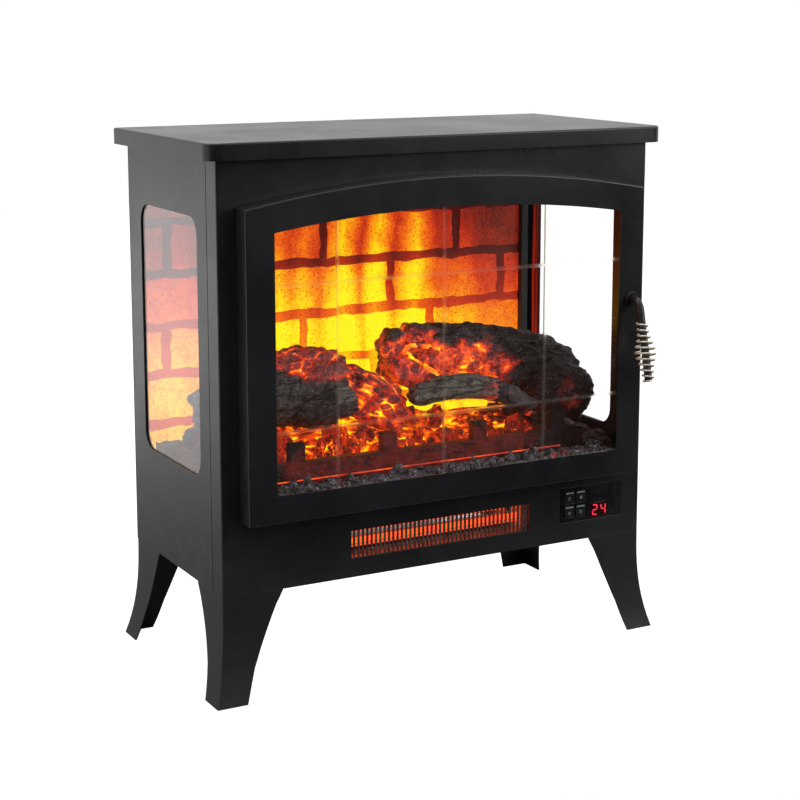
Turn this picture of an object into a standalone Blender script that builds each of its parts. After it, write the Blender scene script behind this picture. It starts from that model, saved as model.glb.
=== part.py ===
"""Free-standing electric stove heater, 24 inch class: a sheet steel cabinet on four flared legs, glazed on
three sides, with an arched door, a log set in front of a flame screen, and a quartz heater with a blower
behind the slotted outlet below the door. Metres, +Z up, front towards -Y, origin under the middle."""

import math

import bmesh
import bpy
from mathutils import Matrix, Vector, noise

# Driving dimensions
SHEET = 0.0015  # cabinet steel
GAP = 0.0003  # between pieces that touch
HALF_WIDTH = 0.290  # cabinet, outside
FRONT_Y = -0.1073  # outer face of the cabinet's front panel
BACK_Y = FRONT_Y + 0.276
LEG_HEIGHT = 0.127
CABINET_TOP = 0.628
TOP_HALF_WIDTH = 0.305
TOP_THICKNESS = 0.020
TOP_FRONT_OVERHANG = 0.016
TOP_BACK_OVERHANG = 0.006
WRAP = 0.029  # how far the front panel folds round onto the sides

DOOR_HALF = 0.268
DOOR_BOTTOM = 0.214
DOOR_CORNER = 0.575
DOOR_APEX = 0.601
DOOR_PROUD = 0.0287  # door's front face ahead of the cabinet
DOOR_GAP = 0.003  # between the cabinet and the door's back edge
VIEW_HALF = 0.233  # glazed opening in the door
VIEW_BOTTOM = 0.2468
VIEW_CORNER = 0.5475
VIEW_APEX = 0.5655
GLASS = 0.004

MOUTH_HALF = 0.256  # opening in the cabinet behind the door
MOUTH_BOTTOM = 0.230
MOUTH_TOP = 0.568

HINGE_INSET = 0.007  # hinge axis from the door's left edge
HINGE_AHEAD = 0.0135  # hinge axis ahead of the cabinet's face
PIN_RADIUS = 0.0022

WINDOW_FRONT = 0.0595  # side windows, behind the cabinet's face
WINDOW_BACK = 0.2365
WINDOW_BOTTOM = 0.2555
WINDOW_TOP = 0.559
WINDOW_ROUND = 0.022
PANE = 0.003

GRILLE_HALF = 0.1245
GRILLE_BOTTOM = 0.1505
GRILLE_TOP = 0.184
SLOTS = 43
SLOT_WIDTH = 0.003

FASCIA_LEFT = 0.170
FASCIA_RIGHT = 0.262
FASCIA_BOTTOM = 0.152
FASCIA_TOP = 0.197
BUTTON_X = (0.18375, 0.20075)
BUTTON_Z = (0.1655, 0.1840)
BUTTON_SIZE = (0.0145, 0.0155)
BUTTON_CLEAR = 0.0005
DISPLAY = (0.2155, 0.2425, 0.1535, 0.1730)

HANDLE_X = 0.2505
HANDLE_Z = 0.437
ROD_RADIUS = 0.0049
WIRE_RADIUS = 0.0012
GRIP_TOP_Z = 0.4125
GRIP_BOTTOM_Z = 0.339
GRIP_TOP_REACH = 0.0240  # grip's axis ahead of the door at its top and bottom
GRIP_BOTTOM_REACH = 0.0415
GRIP_TURNS = 10.5

SCREEN_FRONT = 0.237  # flame screen behind the cabinet's face
SCREEN_LEFT = -0.283
SCREEN_RIGHT = 0.2525
SCREEN_TOP = 0.6145
CHANNEL_FOOT = 0.280  # the wire channel beside the screen
CHANNEL_RIGHT = 0.2625
CHANNEL_SHEET = 0.0012
CHANNEL_BACK = 0.270
GRATE_X = (-0.180, -0.0575, 0.069, 0.183)  # posts of the fire grate

LEG_WIDTHS = (  # width of a leg's plates, against the share of the way down
    (0.0, 0.076),
    (0.06, 0.072),
    (0.13, 0.067),
    (0.34, 0.056),
    (0.52, 0.048),
    (0.69, 0.042),
    (1.0, 0.038),
)
LEG_FLANGE_REACH = 0.056
LEG_FLARE = 0.015
LEG_SHEET = 0.002
LEG_STEPS = 11
LEG_PLATE = 0.0027  # flange at the top of a leg
BOLT_INSET = 0.030  # leg bolts, from the cabinet's outside
BOLT_HOLE = 0.0034

WHEEL_DEPTH = 0.105  # blower axis behind the cabinet's face
WHEEL_Z = 0.172
WHEEL_RADIUS = 0.024
BLADES = 16
FLICKER_DEPTH = 0.2555
FLICKER_Z = 0.285
TUBE_DEPTH = 0.040
TUBE_Z = (0.157, 0.179)
TUBE_RADIUS = 0.005
DUCT_HALF = 0.140
DUCT_BOTTOM = 0.142
DUCT_TOP = 0.1925
DUCT_SHEET = 0.0012

CORD_X = 0.235
CORD_Z = 0.165
AIR_COLUMNS = (-0.150, -0.050, 0.050, 0.150)
AIR_PITCH = 0.012

DOOR_Y = FRONT_Y - DOOR_PROUD


def depth(distance):
    """The Y of a plane that lies this far behind the cabinet's face."""
    return FRONT_Y + distance


def clear_scene():
    for obj in list(bpy.data.objects):
        bpy.data.objects.remove(obj, do_unlink=True)


def finish(name, colour, roughness, metallic=0.0, glow=None, alpha=1.0):
    """One finish for one sub-part."""
    material = bpy.data.materials.new(name)
    material.use_nodes = True
    shader = material.node_tree.nodes["Principled BSDF"]
    shader.inputs["Base Color"].default_value = (*colour, 1.0)
    shader.inputs["Roughness"].default_value = roughness
    shader.inputs["Metallic"].default_value = metallic
    shader.inputs["Alpha"].default_value = alpha
    if glow:
        shader.inputs["Emission Color"].default_value = (*glow, 1.0)
        shader.inputs["Emission Strength"].default_value = 2.0
    return material


def black_steel(name):
    return finish(name, (0.014, 0.014, 0.017), 0.42, 0.3)


def add_object(name, bm, material=None, smooth=False):
    """Turns a bmesh into an object with its faces pointing out."""
    bmesh.ops.recalc_face_normals(bm, faces=bm.faces[:])
    mesh = bpy.data.meshes.new(name)
    bm.to_mesh(mesh)
    bm.free()
    if smooth:
        mesh.shade_smooth()
        mesh.set_sharp_from_angle(angle=math.radians(35))
    obj = bpy.data.objects.new(name, mesh)
    bpy.context.scene.collection.objects.link(obj)
    if material:
        mesh.materials.append(material)
    return obj


def place(u, v, along, axis):
    """A point of an outline (u, v) at a station along one of the three axes."""
    if axis == "x":
        return Vector((along, u, v))
    if axis == "y":
        return Vector((u, along, v))
    return Vector((u, v, along))


def prism(name, outline, low, high, axis="y", holes=(), material=None, smooth=False):
    """A flat outline, with holes if it has any, extruded between two stations."""
    bm = bmesh.new()
    for loop in (outline, *holes):
        corners = [bm.verts.new(place(u, v, low, axis)) for u, v in loop]
        for i, corner in enumerate(corners):
            bm.edges.new((corners[i - 1], corner))
    bmesh.ops.triangle_fill(bm, use_beauty=True, edges=bm.edges[:])
    grown = bmesh.ops.extrude_face_region(bm, geom=bm.faces[:])
    moved = [item for item in grown["geom"] if isinstance(item, bmesh.types.BMVert)]
    bmesh.ops.translate(bm, vec=place(0, 0, high - low, axis), verts=moved)
    return add_object(name, bm, material, smooth)


def rectangle(u0, u1, v0, v1):
    return [(u0, v0), (u1, v0), (u1, v1), (u0, v1)]


def rounded(u0, u1, v0, v1, radius, steps=5):
    """A rectangle with round corners, anticlockwise from its lower left corner."""
    points = []
    centres = rectangle(u0 + radius, u1 - radius, v0 + radius, v1 - radius)
    for corner, (cu, cv) in enumerate(centres):
        for step in range(steps + 1):
            angle = math.pi * (1 + corner / 2 + step / steps / 2)
            points.append((cu + radius * math.cos(angle), cv + radius * math.sin(angle)))
    return points


def arch(half, bottom, corner, apex, steps=18):
    """A rectangle whose top edge is an arc through the apex."""
    rise = apex - corner
    radius = (half * half + rise * rise) / (2 * rise)
    swing = math.asin(half / radius)
    top = []
    for step in range(steps + 1):
        angle = swing * (1 - 2 * step / steps)
        top.append((radius * math.sin(angle), apex - radius + radius * math.cos(angle)))
    return [(-half, bottom), (half, bottom), *top]


def circle(cu, cv, radius, sides=24):
    turns = [2 * math.pi * k / sides for k in range(sides)]
    return [(cu + radius * math.cos(a), cv + radius * math.sin(a)) for a in turns]


def arc_strip(cu, cv, inner, outer, first, last, steps=14):
    """A curved strip of sheet seen on edge; angles in degrees."""
    turns = [math.radians(first + (last - first) * k / steps) for k in range(steps + 1)]
    out = [(cu + outer * math.cos(a), cv + outer * math.sin(a)) for a in turns]
    back = [(cu + inner * math.cos(a), cv + inner * math.sin(a)) for a in reversed(turns)]
    return out + back


def box(name, x0, x1, y0, y1, z0, z1, material=None):
    return prism(name, rectangle(x0, x1, z0, z1), y0, y1, "y", material=material)


def combine(obj, others, operation):
    """Cuts or joins other solids with this one; they stay as hidden helpers."""
    for other in others:
        modifier = obj.modifiers.new(operation.title(), "BOOLEAN")
        modifier.operation = operation
        modifier.solver = "EXACT"
        modifier.object = other
        other.hide_render = True
        other.display_type = "WIRE"
    return obj


def cut(obj, *others):
    return combine(obj, others, "DIFFERENCE")


def join(obj, *others):
    return combine(obj, others, "UNION")


def rod(name, points, radius, material, rounds=2):
    """A round bar along a list of points."""
    curve = bpy.data.curves.new(name, "CURVE")
    curve.dimensions = "3D"
    curve.bevel_depth = radius
    curve.bevel_resolution = rounds
    curve.use_fill_caps = True
    spline = curve.splines.new("POLY")
    spline.points.add(len(points) - 1)
    for target, point in zip(spline.points, points):
        target.co = (*point, 1.0)
    obj = bpy.data.objects.new(name, curve)
    bpy.context.scene.collection.objects.link(obj)
    curve.materials.append(material)
    return obj


# Cabinet


def top_cover():
    """A folded lid: rounded front corners, hollow, with a lip that rests on the cabinet."""
    front = FRONT_Y - TOP_FRONT_OVERHANG
    back = BACK_Y + TOP_BACK_OVERHANG
    low = CABINET_TOP + GAP
    high = CABINET_TOP + TOP_THICKNESS
    outline = lid_outline(TOP_HALF_WIDTH, front, back, 0.018)
    lid = prism("top_cover", outline, low, high, "z", material=black_steel("lid_black"))
    hollow = lid_outline(TOP_HALF_WIDTH - SHEET, front + SHEET, back - SHEET, 0.0165)
    cavity = prism("lid_cavity", hollow, low + SHEET, high - SHEET, "z")
    lip = 0.030
    opening = rectangle(-TOP_HALF_WIDTH + lip, TOP_HALF_WIDTH - lip, front + lip, back - lip)
    mouth = prism("lid_mouth", opening, low - SHEET, low + 2 * SHEET, "z")
    return cut(lid, cavity, mouth)


def lid_outline(half, front, back, radius):
    """Plan of the lid: round at the front, nearly square at the back."""
    points = rounded(-half, half, front, back, radius, 6)
    middle = len(points) // 2
    return points[:middle] + [(half, back), (-half, back)]


def front_panel():
    """One sheet folded round both front corners, with openings for fire, grille and controls."""
    bend = 0.0025
    wrap_y = depth(WRAP)
    turns = (math.pi / 2, math.pi / 3, math.pi / 6, 0)
    left = [(-HALF_WIDTH + bend - bend * math.sin(a), FRONT_Y + bend - bend * math.cos(a)) for a in turns]
    right = [(-x, y) for x, y in reversed(left)]
    inner = HALF_WIDTH - SHEET
    back = FRONT_Y + SHEET
    inside = [(inner, wrap_y), (inner, back), (-inner, back), (-inner, wrap_y)]
    plan = [(-HALF_WIDTH, wrap_y), *left, *right, (HALF_WIDTH, wrap_y), *inside]
    panel = prism("front_panel", plan, LEG_HEIGHT, CABINET_TOP, "z", material=black_steel("front_black"))
    through = (FRONT_Y - 0.01, FRONT_Y + 0.01)
    mouth_hole = rounded(-MOUTH_HALF, MOUTH_HALF, MOUTH_BOTTOM, MOUTH_TOP, 0.006, 3)
    outlet_half = GRILLE_HALF + SLOT_WIDTH / 2
    outlet_hole = rectangle(-outlet_half, outlet_half, GRILLE_BOTTOM, GRILLE_TOP)
    across = (FASCIA_LEFT - GAP, FASCIA_RIGHT + GAP)
    upward = (FASCIA_BOTTOM - GAP, FASCIA_TOP + GAP)
    holes = (("mouth", mouth_hole), ("outlet", outlet_hole), ("control", rectangle(*across, *upward)))
    return cut(panel, *[prism(name + "_cutter", hole, *through) for name, hole in holes])


def window_outline(margin, radius, steps):
    """The side window, larger all round by a margin."""
    across = (depth(WINDOW_FRONT - margin), depth(WINDOW_BACK + margin))
    return rounded(*across, WINDOW_BOTTOM - margin, WINDOW_TOP + margin, radius, steps)


def side_panel(name, side):
    """A flat side sheet with its round-cornered window."""
    window = window_outline(0, WINDOW_ROUND, 6)
    outline = rectangle(depth(WRAP) + GAP, BACK_Y - SHEET - GAP, LEG_HEIGHT, CABINET_TOP)
    faces = sorted((side * HALF_WIDTH, side * (HALF_WIDTH - SHEET)))
    return prism(name, outline, *faces, "x", [window], black_steel(name + "_black"))


def side_glazing(side_name, side):
    """A pane behind the side window, and the frame that holds it."""
    outer = HALF_WIDTH - SHEET - GAP
    inner = outer - PANE
    glass = finish("side_glass_" + side_name, (0.9, 0.95, 0.95), 0.05, alpha=0.3)
    faces = sorted((side * outer, side * inner))
    prism("side_glass_" + side_name, window_outline(0.008, 0.012, 3), *faces, "x", material=glass)
    edge = window_outline(0.014, 0.012, 3)
    sight = window_outline(0.001, WINDOW_ROUND, 5)
    faces = sorted((side * (inner - GAP), side * (inner - GAP - SHEET)))
    steel = finish("glass_frame_" + side_name, (0.02, 0.02, 0.02), 0.5, 0.6)
    prism("side_glass_frame_" + side_name, edge, *faces, "x", [sight], steel)


def rear_panel():
    """Back sheet with air slots for the blower, slots near the top, and the hole for the cord gland."""
    holes = [circle(CORD_X, CORD_Z, 0.007, 16)]
    rows = [0.150 + AIR_PITCH * row for row in range(4)] + [0.585 + AIR_PITCH * row for row in range(2)]
    for column in AIR_COLUMNS:
        for low in rows:
            holes.append(rectangle(column - 0.038, column + 0.038, low, low + 0.0045))
    outline = rectangle(-HALF_WIDTH, HALF_WIDTH, LEG_HEIGHT, CABINET_TOP)
    return prism("rear_panel", outline, BACK_Y - SHEET, BACK_Y, "y", holes, black_steel("rear_black"))


def base_plate():
    """Floor of the cabinet: a shallow tray with holes for the four leg bolts."""
    half = HALF_WIDTH - SHEET - GAP
    front = FRONT_Y + SHEET + GAP
    back = BACK_Y - SHEET - GAP
    floor = LEG_HEIGHT
    tray = box("base_plate", -half, half, front, back, floor, floor + 0.012, black_steel("base_black"))
    room = (-half + SHEET, half - SHEET, front + SHEET, back - SHEET)
    hollow = box("base_hollow", *room, floor + SHEET, floor + 0.02)
    rims = [circle(x, y, BOLT_HOLE, 12) for x, y in bolt_places()]
    holes = [prism("base_hole", rim, floor - 0.01, floor + 0.008, "z") for rim in rims]
    return cut(tray, hollow, *holes)


def chamber_floor():
    """Shelf between the fire above and the heater below."""
    half = HALF_WIDTH - SHEET - GAP
    front = FRONT_Y + SHEET + GAP
    back = BACK_Y - SHEET - GAP
    top = MOUTH_BOTTOM - GAP
    return box("chamber_floor", -half, half, front, back, top - SHEET, top, black_steel("shelf_black"))


# Legs


def bolt_places():
    ys = (FRONT_Y + BOLT_INSET, BACK_Y - BOLT_INSET)
    return [(x, y) for x in (-HALF_WIDTH + BOLT_INSET, HALF_WIDTH - BOLT_INSET) for y in ys]


def leg_width(t):
    """Width of each of the leg's two plates, from 0 at the top to 1 at the floor."""
    for (t0, w0), (t1, w1) in zip(LEG_WIDTHS, LEG_WIDTHS[1:]):
        if t <= t1:
            return w0 + (w1 - w0) * (t - t0) / (t1 - t0)
    return LEG_WIDTHS[-1][1]


def leg(name, side, end, material):
    """A corner leg bent from one sheet, flaring out to the foot, with a plate at its top for the bolt."""
    corner_x = side * HALF_WIDTH
    corner_y = FRONT_Y if end < 0 else BACK_Y
    top = LEG_HEIGHT - GAP
    bm = bmesh.new()
    loops = []
    for step in range(LEG_STEPS + 1):
        t = step / LEG_STEPS
        flare = LEG_FLARE * t**2.6
        w = leg_width(t)
        s = LEG_SHEET
        shape = [(0, 0), (w, 0), (w, s), (s, s), (s, w), (0, w)]
        x, y, z = corner_x + side * flare, corner_y + end * flare, top * (1 - t)
        loops.append([bm.verts.new((x - side * u, y - end * v, z)) for u, v in shape])
    for upper, lower in zip(loops, loops[1:]):
        for k in range(6):
            bm.faces.new((upper[k - 1], upper[k], lower[k], lower[k - 1]))
    bm.faces.new(loops[0])
    bm.faces.new(loops[-1])
    body = add_object(name, bm, material, smooth=True)
    plate = [(0.001, 0.001), (LEG_FLANGE_REACH, 0.001), (0.001, LEG_FLANGE_REACH)]
    corners = [(corner_x - side * u, corner_y - end * v) for u, v in plate]
    return join(body, prism(name + "_flange", corners, top - LEG_PLATE, top, "z"))


def legs():
    """Four legs, each held by one hexagon bolt."""
    for end_name, end in (("front", -1), ("rear", 1)):
        for side_name, side in (("left", -1), ("right", 1)):
            place_name = end_name + "_" + side_name
            body = leg("leg_" + place_name, side, end, black_steel("leg_black_" + place_name))
            x = side * (HALF_WIDTH - BOLT_INSET)
            y = FRONT_Y + BOLT_INSET if end < 0 else BACK_Y - BOLT_INSET
            leg_bolt("leg_bolt_" + place_name, body, x, y)


def leg_bolt(name, leg_body, x, y):
    """A bolt pushed up through the leg's plate, and the hole it needs there."""
    under = LEG_HEIGHT - GAP - LEG_PLATE
    hole = prism(name + "_hole", circle(x, y, BOLT_HOLE, 12), under - 0.01, LEG_HEIGHT + 0.01, "z")
    cut(leg_body, hole)
    steel = finish(name + "_zinc", (0.6, 0.6, 0.58), 0.35, 1.0)
    bolt = prism(name, circle(x, y, 0.0030, 12), under - 0.002, LEG_HEIGHT + 0.010, "z", material=steel)
    head = prism(name + "_head", circle(x, y, 0.0055, 6), under - GAP - 0.004, under - GAP, "z")
    return join(bolt, head)


# Door


def door_frame():
    """A pressed steel pan, arched at the top, with a glazed opening and a hole for the handle."""
    back = FRONT_Y - DOOR_GAP
    outside = arch(DOOR_HALF, DOOR_BOTTOM, DOOR_CORNER, DOOR_APEX)
    pan = prism("door_frame", outside, DOOR_Y, back, material=black_steel("door_black"))
    inside = arch(DOOR_HALF - SHEET, DOOR_BOTTOM + SHEET, DOOR_CORNER - SHEET, DOOR_APEX - SHEET)
    hollow = prism("door_hollow", inside, DOOR_Y + SHEET, back + 0.01)
    through = (DOOR_Y - 0.01, DOOR_Y + 0.01)
    view = prism("door_view", arch(VIEW_HALF, VIEW_BOTTOM, VIEW_CORNER, VIEW_APEX), *through)
    rim = circle(HANDLE_X, HANDLE_Z, ROD_RADIUS + 0.0006, 16)
    spindle = prism("spindle_hole", rim, *through)
    return cut(pan, hollow, view, spindle)


def door_glazing():
    """The door's glass and the ring that clamps it from behind."""
    edge = 0.010
    front = DOOR_Y + SHEET + GAP
    glass = finish("door_glass_clear", (0.9, 0.95, 0.95), 0.05, alpha=0.3)
    outline = arch(VIEW_HALF + edge, VIEW_BOTTOM - edge, VIEW_CORNER + edge, VIEW_APEX + edge)
    prism("door_glass", outline, front, front + GLASS, material=glass)
    ring_front = front + GLASS + GAP
    rim = 0.021
    outer = arch(VIEW_HALF + rim, VIEW_BOTTOM - rim - 0.004, VIEW_CORNER + rim - 0.004, VIEW_APEX + rim)
    lap = 0.004
    inner = arch(VIEW_HALF + lap, VIEW_BOTTOM - lap, VIEW_CORNER + lap, VIEW_APEX + lap)
    steel = black_steel("retainer_black")
    prism("glass_retainer", outer, ring_front, ring_front + SHEET, holes=[inner], material=steel)


def hinge(name, pin_low, pin_high, ear_low, foot_low, foot_high):
    """A swan-neck ear on the cabinet that reaches round the door's edge to the pin, and the pin."""
    x = -DOOR_HALF + HINGE_INSET
    y = FRONT_Y - HINGE_AHEAD
    face = HINGE_AHEAD - GAP
    ear = 0.0048
    sweep = [math.radians(a) for a in range(90, 271, 20)]
    nose = [(x + ear * math.cos(a), y + ear * math.sin(a)) for a in sweep]
    arm_left, arm_right, notch = x + 0.015, x + 0.022, y + 0.0008
    arm = [(arm_right, y - ear), (arm_right, y + face), (arm_left, y + face), (arm_left, notch)]
    plan = [*nose, *arm, (x + 0.0047, notch)]
    zinc = finish("hinge_zinc_" + name, (0.55, 0.55, 0.54), 0.4, 1.0)
    hole = circle(x, y, PIN_RADIUS + 0.0004, 16)
    plate = prism("hinge_bracket_" + name, plan, ear_low, ear_low + 0.0025, "z", [hole], zinc)
    foot = box("hinge_foot_" + name, x + 0.0145, x + 0.026, y + face - 0.002, y + face, foot_low, foot_high)
    join(plate, foot)
    pin = finish("pin_steel_" + name, (0.6, 0.6, 0.6), 0.3, 1.0)
    post = circle(x, y, PIN_RADIUS, 12)
    prism("hinge_pin_" + name, post, pin_low, pin_high, "z", material=pin, smooth=True)


def hinges():
    x = DOOR_HALF - HINGE_INSET
    rise = DOOR_APEX - DOOR_CORNER
    radius = (DOOR_HALF**2 + rise**2) / (2 * rise)
    roof = DOOR_APEX - radius + math.sqrt(radius**2 - x**2) - SHEET
    hinge("upper", 0.560, roof - 4 * GAP, MOUTH_TOP + 0.0012, MOUTH_TOP + 0.0012, MOUTH_TOP + 0.0085)
    floor = DOOR_BOTTOM + SHEET
    hinge("lower", floor + GAP, 0.2385, 0.2245, MOUTH_BOTTOM - 0.0125, MOUTH_BOTTOM - 0.0010)


def magnet_catch():
    """A block with two magnets that meets the steel ring behind the door's glass."""
    front = DOOR_Y + SHEET + GAP + GLASS + GAP + SHEET + GAP
    ferrite = finish("catch_brown", (0.10, 0.06, 0.04), 0.6)
    return box("magnet_catch", 0.214, 0.250, front, FRONT_Y - GAP, 0.2176, 0.2290, ferrite)


# Handle


def grip_point(t):
    """A point on the grip's axis, from 0 at its top to 1 at its bottom."""
    reach = GRIP_TOP_REACH + (GRIP_BOTTOM_REACH - GRIP_TOP_REACH) * t
    return Vector((HANDLE_X, DOOR_Y - reach, GRIP_TOP_Z + (GRIP_BOTTOM_Z - GRIP_TOP_Z) * t))


def handle_rod():
    """A bar that leaves the door, bends down and carries the grip, leaning away from the door."""
    run = grip_point(1) - grip_point(0)
    back_up = (HANDLE_Z - GRIP_TOP_Z) / run.z
    corner = grip_point(0) + run * back_up
    tangent = 0.013
    start = Vector((HANDLE_X, DOOR_Y + 0.0047, HANDLE_Z))
    into = corner + Vector((0, tangent, 0))
    out_of = corner + run.normalized() * tangent
    bend = []
    for step in range(9):
        t = step / 8
        bend.append(into * (1 - t) ** 2 + corner * 2 * t * (1 - t) + out_of * t * t)
    points = [start, *bend, grip_point(0.5), grip_point(1.0)]
    steel = finish("handle_black", (0.03, 0.028, 0.027), 0.35, 0.6)
    return rod("handle_rod", points, ROD_RADIUS, steel, 3)


def grip_radius(t):
    """Distance of the wire's centre from the grip's axis: a hump in the middle."""
    least = ROD_RADIUS + WIRE_RADIUS + GAP
    return least + 0.0063 * math.exp(-(((t - 0.52) / 0.21) ** 2))


def handle_grip():
    """Cool-touch grip: a wire wound as an open barrel round the bar."""
    run = (grip_point(1) - grip_point(0)).normalized()
    across = Vector((1, 0, 0))
    outward = across.cross(run)
    count = int(GRIP_TURNS * 12)
    points = []
    for k in range(count + 1):
        t = k / count
        angle = 2 * math.pi * GRIP_TURNS * t
        spoke = across * math.cos(angle) + outward * math.sin(angle)
        points.append(grip_point(t * 0.985) + spoke * grip_radius(t))
    nickel = finish("grip_nickel", (0.75, 0.68, 0.58), 0.2, 1.0)
    return rod("handle_grip", points, WIRE_RADIUS, nickel, 1)


def handle_washer():
    ring = circle(HANDLE_X, HANDLE_Z, 0.0090, 24)
    hole = circle(HANDLE_X, HANDLE_Z, ROD_RADIUS + GAP, 16)
    steel = finish("washer_black", (0.02, 0.02, 0.02), 0.35, 0.6)
    return prism("handle_washer", ring, DOOR_Y - GAP - 0.003, DOOR_Y - GAP, "y", [hole], steel, smooth=True)


# Heater


def outlet_grille():
    """Slotted plate in front of the quartz tubes."""
    pitch = (2 * GRILLE_HALF - SLOT_WIDTH) / (SLOTS - 1)
    slots = []
    for k in range(SLOTS):
        x = -GRILLE_HALF + pitch * k
        slots.append(rectangle(x, x + SLOT_WIDTH, GRILLE_BOTTOM, GRILLE_TOP))
    rim = rectangle(-GRILLE_HALF - 0.009, GRILLE_HALF + 0.009, GRILLE_BOTTOM - 0.006, GRILLE_TOP + 0.006)
    back = FRONT_Y + SHEET + GAP
    return prism("outlet_grille", rim, back, back + 0.0012, "y", slots, black_steel("grille_black"))


def heater():
    """Duct and curved reflector, with the quartz tubes between their end blocks."""
    metal = finish("duct_steel", (0.55, 0.55, 0.54), 0.35, 1.0)
    sheet = DUCT_SHEET
    outer = rectangle(-DUCT_HALF, DUCT_HALF, DUCT_BOTTOM, DUCT_TOP)
    inner = rectangle(-DUCT_HALF + sheet, DUCT_HALF - sheet, DUCT_BOTTOM + sheet, DUCT_TOP - sheet)
    prism("heater_duct", outer, depth(0.0036), depth(0.070), "y", [inner], metal)
    bowl = arc_strip(depth(0.036), sum(TUBE_Z) / 2, 0.023, 0.024, -58, 58, 10)
    polished = finish("reflector_aluminium", (0.85, 0.85, 0.85), 0.12, 1.0)
    prism("heater_reflector", bowl, -0.1284, 0.1284, "x", material=polished, smooth=True)
    quartz_tubes()


def quartz_tubes():
    """Two quartz tubes, and the ceramic blocks that hold their ends."""
    half = 0.1372
    for name, z in (("lower", TUBE_Z[0]), ("upper", TUBE_Z[1])):
        quartz = finish("quartz_" + name, (0.9, 0.35, 0.2), 0.15, glow=(1.0, 0.18, 0.04))
        tube = circle(depth(TUBE_DEPTH), z, TUBE_RADIUS, 14)
        prism("quartz_tube_" + name, tube, -half, half, "x", material=quartz, smooth=True)
    for name, side in (("left", -1), ("right", 1)):
        ends = sorted((side * 0.1290, side * 0.1384))
        holes = [circle(depth(TUBE_DEPTH), z, TUBE_RADIUS + 0.0005, 14) for z in TUBE_Z]
        block = rectangle(depth(0.028), depth(0.054), 0.1436, 0.1909)
        ceramic = finish("ceramic_" + name, (0.85, 0.83, 0.78), 0.6)
        prism("tube_holder_" + name, block, *ends, "x", holes, ceramic)


def blower():
    """Cross-flow blower: scroll housing, wheel and motor."""
    axis = (depth(WHEEL_DEPTH), WHEEL_Z)
    shell = arc_strip(*axis, 0.0285, 0.0300, -128, 128, 20)
    zinc = finish("housing_zinc", (0.6, 0.6, 0.58), 0.4, 1.0)
    prism("blower_housing", shell, -0.1384, 0.1384, "x", material=zinc, smooth=True)
    blower_wheel(axis)
    steel = finish("motor_steel", (0.4, 0.4, 0.4), 0.4, 1.0)
    motor = prism("blower_motor", circle(*axis, 0.019, 20), 0.1400, 0.1780, "x", material=steel)
    boss = prism("motor_boss", circle(*axis, 0.007, 14), 0.1388, 0.1405, "x")
    join(motor, boss)


def blower_wheel(axis):
    """A shaft with blades between three discs."""
    plastic = finish("wheel_grey", (0.18, 0.18, 0.19), 0.5)
    wheel = prism("blower_wheel", circle(*axis, 0.003, 10), -0.1384, 0.1384, "x", material=plastic)
    centre = Matrix.Translation((0, *axis))
    out = Matrix.Translation((0, 0, WHEEL_RADIUS - 0.005))
    lean = Matrix.Rotation(math.radians(25), 4, "X")
    size = Matrix.Diagonal((0.236, 0.001, 0.008, 1))
    bm = bmesh.new()
    for k in range(BLADES):
        turn = Matrix.Rotation(2 * math.pi * k / BLADES, 4, "X")
        bmesh.ops.create_cube(bm, size=1.0, matrix=centre @ turn @ out @ lean @ size)
    vanes = add_object("wheel_blades", bm)
    rim = circle(*axis, WHEEL_RADIUS, 24)
    discs = [prism("wheel_disc", rim, x - 0.001, x + 0.001, "x") for x in (-0.1175, 0.0, 0.1175)]
    join(wheel, *discs, vanes)
    pivot_at(wheel, (0, *axis))


def pivot_at(obj, place_at):
    """Moves an object's origin, and not its shape, onto its joint's axis."""
    offset = Vector(place_at)
    if obj.type == "MESH":
        obj.data.transform(Matrix.Translation(-offset))
    obj.location = offset


# Controls


def controls():
    """Gloss fascia with four push buttons, the digit display, and the board behind them."""
    holes = []
    width, height = (size / 2 + BUTTON_CLEAR for size in BUTTON_SIZE)
    for x in BUTTON_X:
        for z in BUTTON_Z:
            holes.append(rectangle(x - width, x + width, z - height, z + height))
    left, right, bottom, top = DISPLAY
    holes.append(rectangle(left - GAP, right + GAP, bottom - GAP, top + GAP))
    face = rectangle(FASCIA_LEFT, FASCIA_RIGHT, FASCIA_BOTTOM, FASCIA_TOP)
    gloss = finish("fascia_black", (0.01, 0.01, 0.012), 0.15)
    prism("control_fascia", face, FRONT_Y, FRONT_Y + 0.0035, "y", holes, gloss)
    display = finish("digits_red", (0.03, 0.0, 0.0), 0.2, glow=(1.0, 0.02, 0.05))
    box("digit_display", left, right, FRONT_Y + 0.0002, FRONT_Y + 0.0085, bottom, top, display)
    board = finish("board_green", (0.02, 0.16, 0.06), 0.5)
    box("control_board", 0.166, 0.266, FRONT_Y + 0.0092, FRONT_Y + 0.0108, 0.148, 0.201, board)
    names = (("power", 0, 1), ("flame", 1, 1), ("heat", 0, 0), ("timer", 1, 0))
    for name, column, row in names:
        button("button_" + name, BUTTON_X[column], BUTTON_Z[row])


def button(name, x, z):
    """A push button that stands a little proud of the fascia."""
    half_width, half_height = BUTTON_SIZE[0] / 2, BUTTON_SIZE[1] / 2
    outline = rounded(x - half_width, x + half_width, z - half_height, z + half_height, 0.0012, 2)
    satin = finish(name + "_black", (0.012, 0.012, 0.014), 0.3)
    cap = prism(name, outline, FRONT_Y - 0.0008, FRONT_Y + 0.0076, "y", material=satin)
    pivot_at(cap, (x, FRONT_Y, z))


# Fire


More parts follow.
